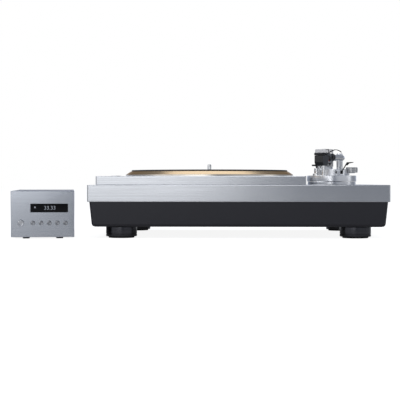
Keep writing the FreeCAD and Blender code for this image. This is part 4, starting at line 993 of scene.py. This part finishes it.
def head_place():
    look = settings("arm")
    return (arm_place() @ about(0, -look.length)
            @ turned_by(-math.degrees(look.offset_angle), "Z"))


def swept_tube(name, radius, start, bends, end):
    """A round tube from start to end, with a (centre, enter, leave, degrees) for each bend."""
    piece = new(name, bpy.ops.mesh.primitive_circle_add, vertices=40, radius=radius,
                location=start, rotation=(math.radians(90), 0, 0))
    bpy.ops.object.transform_apply()
    edit_all()
    here = start
    for centre, enter, leave, degrees in bends:
        bpy.ops.mesh.extrude_region_move(TRANSFORM_OT_translate={"value": enter - here})
        bpy.ops.mesh.spin(steps=max(4, int(abs(degrees) / 2.5)), angle=-math.radians(degrees),
                          center=centre, axis=(0, 0, 1))
        here = leave
    bpy.ops.mesh.extrude_region_move(TRANSFORM_OT_translate={"value": end - here})
    bpy.ops.mesh.select_all(action="SELECT")
    bpy.ops.mesh.remove_doubles(threshold=1e-6)
    bpy.ops.mesh.fill_holes(sides=0)
    face_outwards()
    return piece


def bend(before, corner, after, radius):
    """The arc of that radius in a corner: its centre, where it enters and leaves, its turn."""
    back = (before - corner).normalized()
    forth = (after - corner).normalized()
    half = back.angle(forth) / 2
    reach = radius / math.tan(half)
    centre = corner + (back + forth).normalized() * (radius / math.sin(half))
    travel = math.degrees(math.pi - 2 * half)
    cross = back.y * forth.x - back.x * forth.y
    return centre, corner + back * reach, corner + forth * reach, math.copysign(travel, cross)


class MakeTonearm(bpy.types.Operator):
    """Builds the gimbal, the bent tube, the counterweight and the force dial"""
    bl_idname = "turntable.make_tonearm"
    bl_label = "Tonearm"

    def execute(self, context):
        look = settings("arm")
        place = arm_place()
        refined("gimbal_yoke", "gimbal_frame", "gimbal_satin", 0.0004)
        refined("bearing_block", "gimbal_block", "gimbal_satin", 0.0004)
        line = Vector((math.sin(look.offset_angle), math.cos(look.offset_angle), 0))
        stylus = Vector((0, -look.length, 0))
        start, rear = Vector((0, TUBE_BACK, 0)), Vector((0, -REAR_BEND, 0))
        front, end = stylus + line * FRONT_BEND, stylus + line * TUBE_FRONT
        tube = swept_tube("bent_tube", look.tube_radius, start,
                          (bend(start, rear, front, REAR_RADIUS),
                           bend(rear, front, end, FRONT_RADIUS)), end)
        wear(put(tube, place), "arm_satin", "arm_tube", angle=40)
        turned("force_ring", [
            (6.55, 0), (10.4, 0), (10.85, 0.2), (11.0, 0.6), (11.0, 5.6), (10.8, 6.2),
            (10.4, 6.5), (6.55, 6.5)], place @ along_y(0.0263), "dial_satin", "force_dial",
            90, True, ribs=(0.7, 5.5, 3, -0.00025))
        turned("balance_weight", [
            (6.55, 0), (14.8, 0), (15.5, 0.25), (15.8, 1.0), (15.8, 5.0), (15.4, 5.3),
            (15.4, 5.9), (15.8, 6.2), (15.8, 18.2), (15.5, 18.8), (13.8, 19.0), (13.8, 22.8),
            (13.5, 23.6), (12.8, 24.0), (8.5, 24.0), (8.1, 23.5), (6.55, 23.5)],
            place @ along_y(0.0329), "dark_weight", "counterweight", closed=True,
            ribs=(6.3, 18.1, 2, -0.0002))
        return {"FINISHED"}


class MakeHeadshell(bpy.types.Operator):
    """Builds the headshell with its nut, finger lift, cartridge, screws and leads"""
    bl_idname = "turntable.make_headshell"
    bl_label = "Headshell"

    def execute(self, context):
        place = head_place()
        refined("headshell", "shell_plate", "arm_black", 0.0005, 3)
        refined("finger_lift", "finger_strip", "arm_black", 0.0002)
        refined("cartridge", "pickup_body", "cartridge_body", 0.0004)
        turned("shell_nut", [
            (4.05, 0), (6.4, 0), (6.85, 0.15), (7.0, 0.6), (7.0, 9.4), (6.7, 9.6), (6.7, 10.2),
            (7.0, 10.4), (7.0, 13.0), (6.8, 13.7), (6.2, 14.0), (5.05, 14.0), (5.05, 6.4),
            (4.05, 6.4)], place @ along_y(0.0423), "arm_black", "headshell_nut", 72, True,
            ribs=(0.7, 9.3, 3, -0.0003))
        for side, x in (("left", -0.00635), ("right", 0.00635)):
            turned("shell_screw_" + side, [
                (1.2, 0.9), (1.2, 0.6), (1.9, 0.6), (2.1, 0.55), (2.2, 0.3), (2.2, -0.05),
                (1.25, -0.05), (1.25, -4.6)], place @ about(x, 0.0095, 0.007), "screw_steel",
                segments=32, body="arm", slot="steel")
        for colour, x, low in (("white", -0.0054, -0.0030), ("blue", -0.0018, -0.0064),
                               ("green", 0.0018, -0.0030), ("red", 0.0054, -0.0064)):
            turned("pickup_pin_" + colour, [(0.55, -0.6), (0.55, 3.2), (0.3, 3.5)],
                   place @ along_y(0.0190, x, low), "plated_contact",
                   segments=16, body="arm", slot="steel")
            way = [(x, 0.0212, low), (x, 0.0250, low), (x * 0.9, 0.0300, low - 0.0012),
                   (x * 0.6, 0.0355, low + 0.0008), (x * 0.5, 0.0392, 0.0)]
            wire("shell_lead_" + colour, [place @ Vector(point) for point in way], 0.00045,
                 "lead_" + colour, "arm", "arm_dark")
        return {"FINISHED"}


# Control unit

def unit_place():
    look = settings("control")
    return (about(SLAB_LOW[0] - look.gap, FRONT)
            @ turned_by(math.degrees(look.turn), "Z"))


class MakeControlUnit(bpy.types.Operator):
    """Dresses the case, the front panel, the window and the lit digits"""
    bl_idname = "turntable.make_control_unit"
    bl_label = "Control unit"

    def execute(self, context):
        look = settings("control")
        place = unit_place()
        upright = turned_by(90, "X")
        shown = dict(body="control_unit", slot="display_glass")
        refined("control_front_panel", "front_panel", "panel_brushed", 0.00015, 2, 50)
        refined("control_cover", "case_cover", "case_paint", 0.0005)
        refined("control_chassis", "case_chassis", "case_paint", 0)
        refined("display_window", "display_glass", "smoked_glass", 0.00015)
        spot = place @ about(0.0678 - look.width, 0.00024, WINDOW_ROW)
        digits = lettering("lit_digits", "33.33", look.digit_size, spot @ upright)
        wear(digits, "lit_digits", **shown)
        square = new("lit_square", bpy.ops.mesh.primitive_grid_add, x_subdivisions=2,
                     y_subdivisions=2, size=0.0026)
        edit_all()
        bpy.ops.mesh.extrude_region_move(TRANSFORM_OT_translate={"value": (0, 0, INLAY)})
        face_outwards()
        put(square, place @ about(0.0420 - look.width, 0.00024, WINDOW_ROW + 0.0012) @ upright)
        wear(square, "lit_digits", **shown)
        foot = lathe("unit_foot", [(5.5, 0), (6.0, 0.2), (6.2, 0.7), (6.2, 3.0)], 48)
        feet = [copy_of(foot, place @ about(x, y)) for x in (0.0259 - look.width, -0.0259)
                for y in (0.022, UNIT_DEPTH - 0.022)]
        bpy.data.objects.remove(foot)
        wear(joined("unit_feet", feet), "sole_rubber", "control_feet")
        return {"FINISHED"}


class MakeControlButtons(bpy.types.Operator):
    """Turns the power button and the five small buttons, with two signs"""
    bl_idname = "turntable.make_control_buttons"
    bl_label = "Control buttons"

    def execute(self, context):
        width = settings("control").width
        place = unit_place()
        for node, x, cap, finish_name, sign in (
                # The power button takes the lighter chrome, with its brighter reflection painted
                # into its colour.
                ("power_button", 0.0173, 5.55, "button_chrome_painted_bright", ""),
                ("pitch_button", 0.0383, 3.8, "button_chrome", ""),
                ("minus_button", 0.05248, 3.8, "button_chrome", "-"),
                ("plus_button", 0.06666, 3.8, "button_chrome", "+"),
                ("display_button", 0.08084, 3.8, "button_chrome", ""),
                ("dimmer_button", 0.09502, 3.8, "button_chrome", "")):
            turned(node + "_cap", [
                (cap - 2.4, 0.55), (cap - 1.9, 0.35), (cap - 1.4, 0.08), (cap - 0.9, 0.0),
                (cap - 0.5, 0.1), (cap - 0.2, 0.4), (cap, 1.0), (cap, 10.5), (cap + 1.0, 10.5),
                (cap + 1.0, 11.7)], place @ along_y(-0.0022, x - width, BUTTON_ROW),
                finish_name, node, 64, angle=50)
            if sign:
                spot = place @ about(x - width, -0.00003, BUTTON_ROW + SIGN_RISE)
                mark = lettering(node + "_mark", sign, 0.0026, spot @ turned_by(90, "X"))
                wear(mark, "numeral_ink", body="control_unit", slot="display_glass")
        return {"FINISHED"}


# The control unit's back: its mains inlet and its round socket, across and up from the
# middle of its lower edge, and how far out their contacts reach.
INLET = (-0.022, 0.027)
ROUND_SOCKET = (0.028, 0.052 + UNIT_FEET)
BLADE_DEPTHS = (-0.0155, -0.0029)
PIN_DEPTHS = (-0.0035, 0.0012)


class MakeBackSockets(bpy.types.Operator):
    """Builds the sockets on both backs, with their insulators, contacts and screws"""
    bl_idname = "turntable.make_back_sockets"
    bl_label = "Back sockets"

    def plinth_side(self):
        """Two phono sockets, the ground post and the motor's round socket."""
        node = "plinth_sockets"
        end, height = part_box(node)[1][1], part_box(node)[1][2] - 0.011
        reach = 0.3 * (SLAB_HIGH[0] - SLAB_LOW[0])
        for side, colour in ((-0.010, "white"), (0.010, "red")):
            place = along_y(end, SLAB_CENTRE + reach + side, height)
            turned("phono_barrel_" + colour, [
                (3.3, -8.0), (3.3, -0.3), (3.5, 0), (3.95, 0), (4.15, -0.2), (4.15, -8.0),
                (6.2, -8.0), (6.5, -8.3), (6.5, -10.0), (3.3, -10.0)],
                place, "plated_contact", node, 56, True)
            turned("phono_insert_" + colour, [
                (2.1, -8.0), (2.1, -1.2), (2.4, -0.9), (3.0, -0.9), (3.28, -1.2), (3.28, -8.0)],
                place, "insulator_" + colour, node, 40, True)
            turned("phono_centre_" + colour, [
                (1.6, -8.0), (1.6, -0.9), (1.7, -0.7), (1.95, -0.7), (2.08, -0.9), (2.08, -8.0)],
                place, "plated_contact", node, 32, True)
        place = along_y(end, SLAB_CENTRE + reach - 0.042, height)
        turned("ground_post", [(2.5, -10.0), (2.5, -0.4), (2.1, 0)], place, "plated_contact",
               node, 32)
        turned("ground_knob", [
            (2.55, -9.5), (4.6, -9.5), (5.0, -9.1), (5.0, -2.6), (4.6, -2.0), (2.55, -2.0)],
            place, "plated_contact", node, 60, True, ribs=(-9.0, -2.7, 2, -0.00025))
        place = along_y(end - 0.002, SLAB_CENTRE - reach, height)
        turned("motor_socket_shell", [
            (6.6, -8.0), (6.6, -0.4), (6.9, 0), (7.7, 0), (8.0, -0.3), (8.0, -2.5),
            (10.7, -2.5), (11.0, -2.8), (11.0, -4.0), (8.0, -4.0), (8.0, -12.0), (6.6, -12.0)],
            place, "screw_steel", node, 64, True)
        turned("motor_socket_floor", [(6.55, -9.0), (6.55, -8.0), (6.3, -7.8)], place,
               "insulator_dark", node, 48)
        pins = []
        for i in range(5):
            turn = math.radians(72 * i + 90)
            pin = lathe("motor_socket_pin", [(0.8, -8.2), (0.8, -3.3), (0.45, -2.9)], 16)
            pins.append(put(pin, place @ about(0.0036 * math.cos(turn), 0.0036 * math.sin(turn))))
        wear(joined("motor_socket_pins", pins), "plated_contact", node)

    def execute(self, context):
        self.plinth_side()
        width = settings("control").width
        unit = unit_place()
        away = unit.inverted()
        inlet = refined("control_sockets", "unit_terminals", "insulator_dark", 0)

        def contact(centre):
            """The mains inlet's blades and the round socket's pins, without its flange."""
            side, out, up = away @ centre
            side, out = side + width / 2, out - UNIT_DEPTH
            blade = (abs(side - INLET[0]) < 0.0100 and abs(up - INLET[1]) < 0.0045
                     and BLADE_DEPTHS[0] < out < BLADE_DEPTHS[1])
            pin = (math.hypot(side - ROUND_SOCKET[0], up - ROUND_SOCKET[1]) < 0.0046
                   and PIN_DEPTHS[0] < out < PIN_DEPTHS[1] and abs(out) > 0.0001)
            return blade or pin

        second_finish(inlet, "plated_contact", contact)
        spots = [(x, z) for x in (0.006 - width, -0.006) for z in (0.009, 0.078)]
        for i, (x, z) in enumerate(spots):
            turned("case_screw_%d" % (i + 1), [
                (0.9, 0.55), (0.9, 1.15), (2.2, 1.0), (2.6, 0.6), (2.7, 0.0), (2.7, -0.2)],
                unit @ along_y(UNIT_DEPTH, x, z), "screw_steel",
                segments=32, body="control_unit", slot="steel")
        return {"FINISHED"}


class TurntablePanel(bpy.types.Panel):
    bl_idname = "VIEW3D_PT_turntable"
    bl_label = "Turntable"
    bl_space_type = "VIEW_3D"
    bl_region_type = "UI"
    bl_category = "Turntable"

    def draw(self, context):
        for group in GROUPS:
            block = self.layout.box()
            block.label(text=group.title())
            values = settings(group)
            for prop in values.bl_rna.properties:
                if prop.identifier not in ("rna_type", "name"):
                    block.prop(values, prop.identifier)
        for step in STEPS:
            self.layout.operator(step.bl_idname, text=step.bl_label)


GROUPS = {"plinth": PlinthSettings, "platter": PlatterSettings, "arm": ArmSettings,
          "control": ControlSettings}
STEPS = (MakeStage, MakePlinth, MakeFeet, MakePlatter, MakeInnerParts, MakeDeckButtons,
         MakeArmPod, MakeTonearm, MakeHeadshell, MakeControlUnit, MakeControlButtons,
         MakeBackSockets)


def register():
    for name, group in GROUPS.items():
        bpy.utils.register_class(group)
        setattr(bpy.types.Scene, "turntable_" + name, bpy.props.PointerProperty(type=group))
    for step in STEPS:
        bpy.utils.register_class(step)
    bpy.utils.register_class(TurntablePanel)


def unregister():
    bpy.utils.unregister_class(TurntablePanel)
    for step in reversed(STEPS):
        bpy.utils.unregister_class(step)
    for name, group in GROUPS.items():
        delattr(bpy.types.Scene, "turntable_" + name)
        bpy.utils.unregister_class(group)


def main():
    register()
    for step in STEPS:
        name = step.bl_idname.split(".")[1]
        if getattr(bpy.ops.turntable, name)() != {"FINISHED"}:
            raise RuntimeError(step.bl_label + " wasn't finished")
    deselect()


if __name__ == "__main__":
    main()
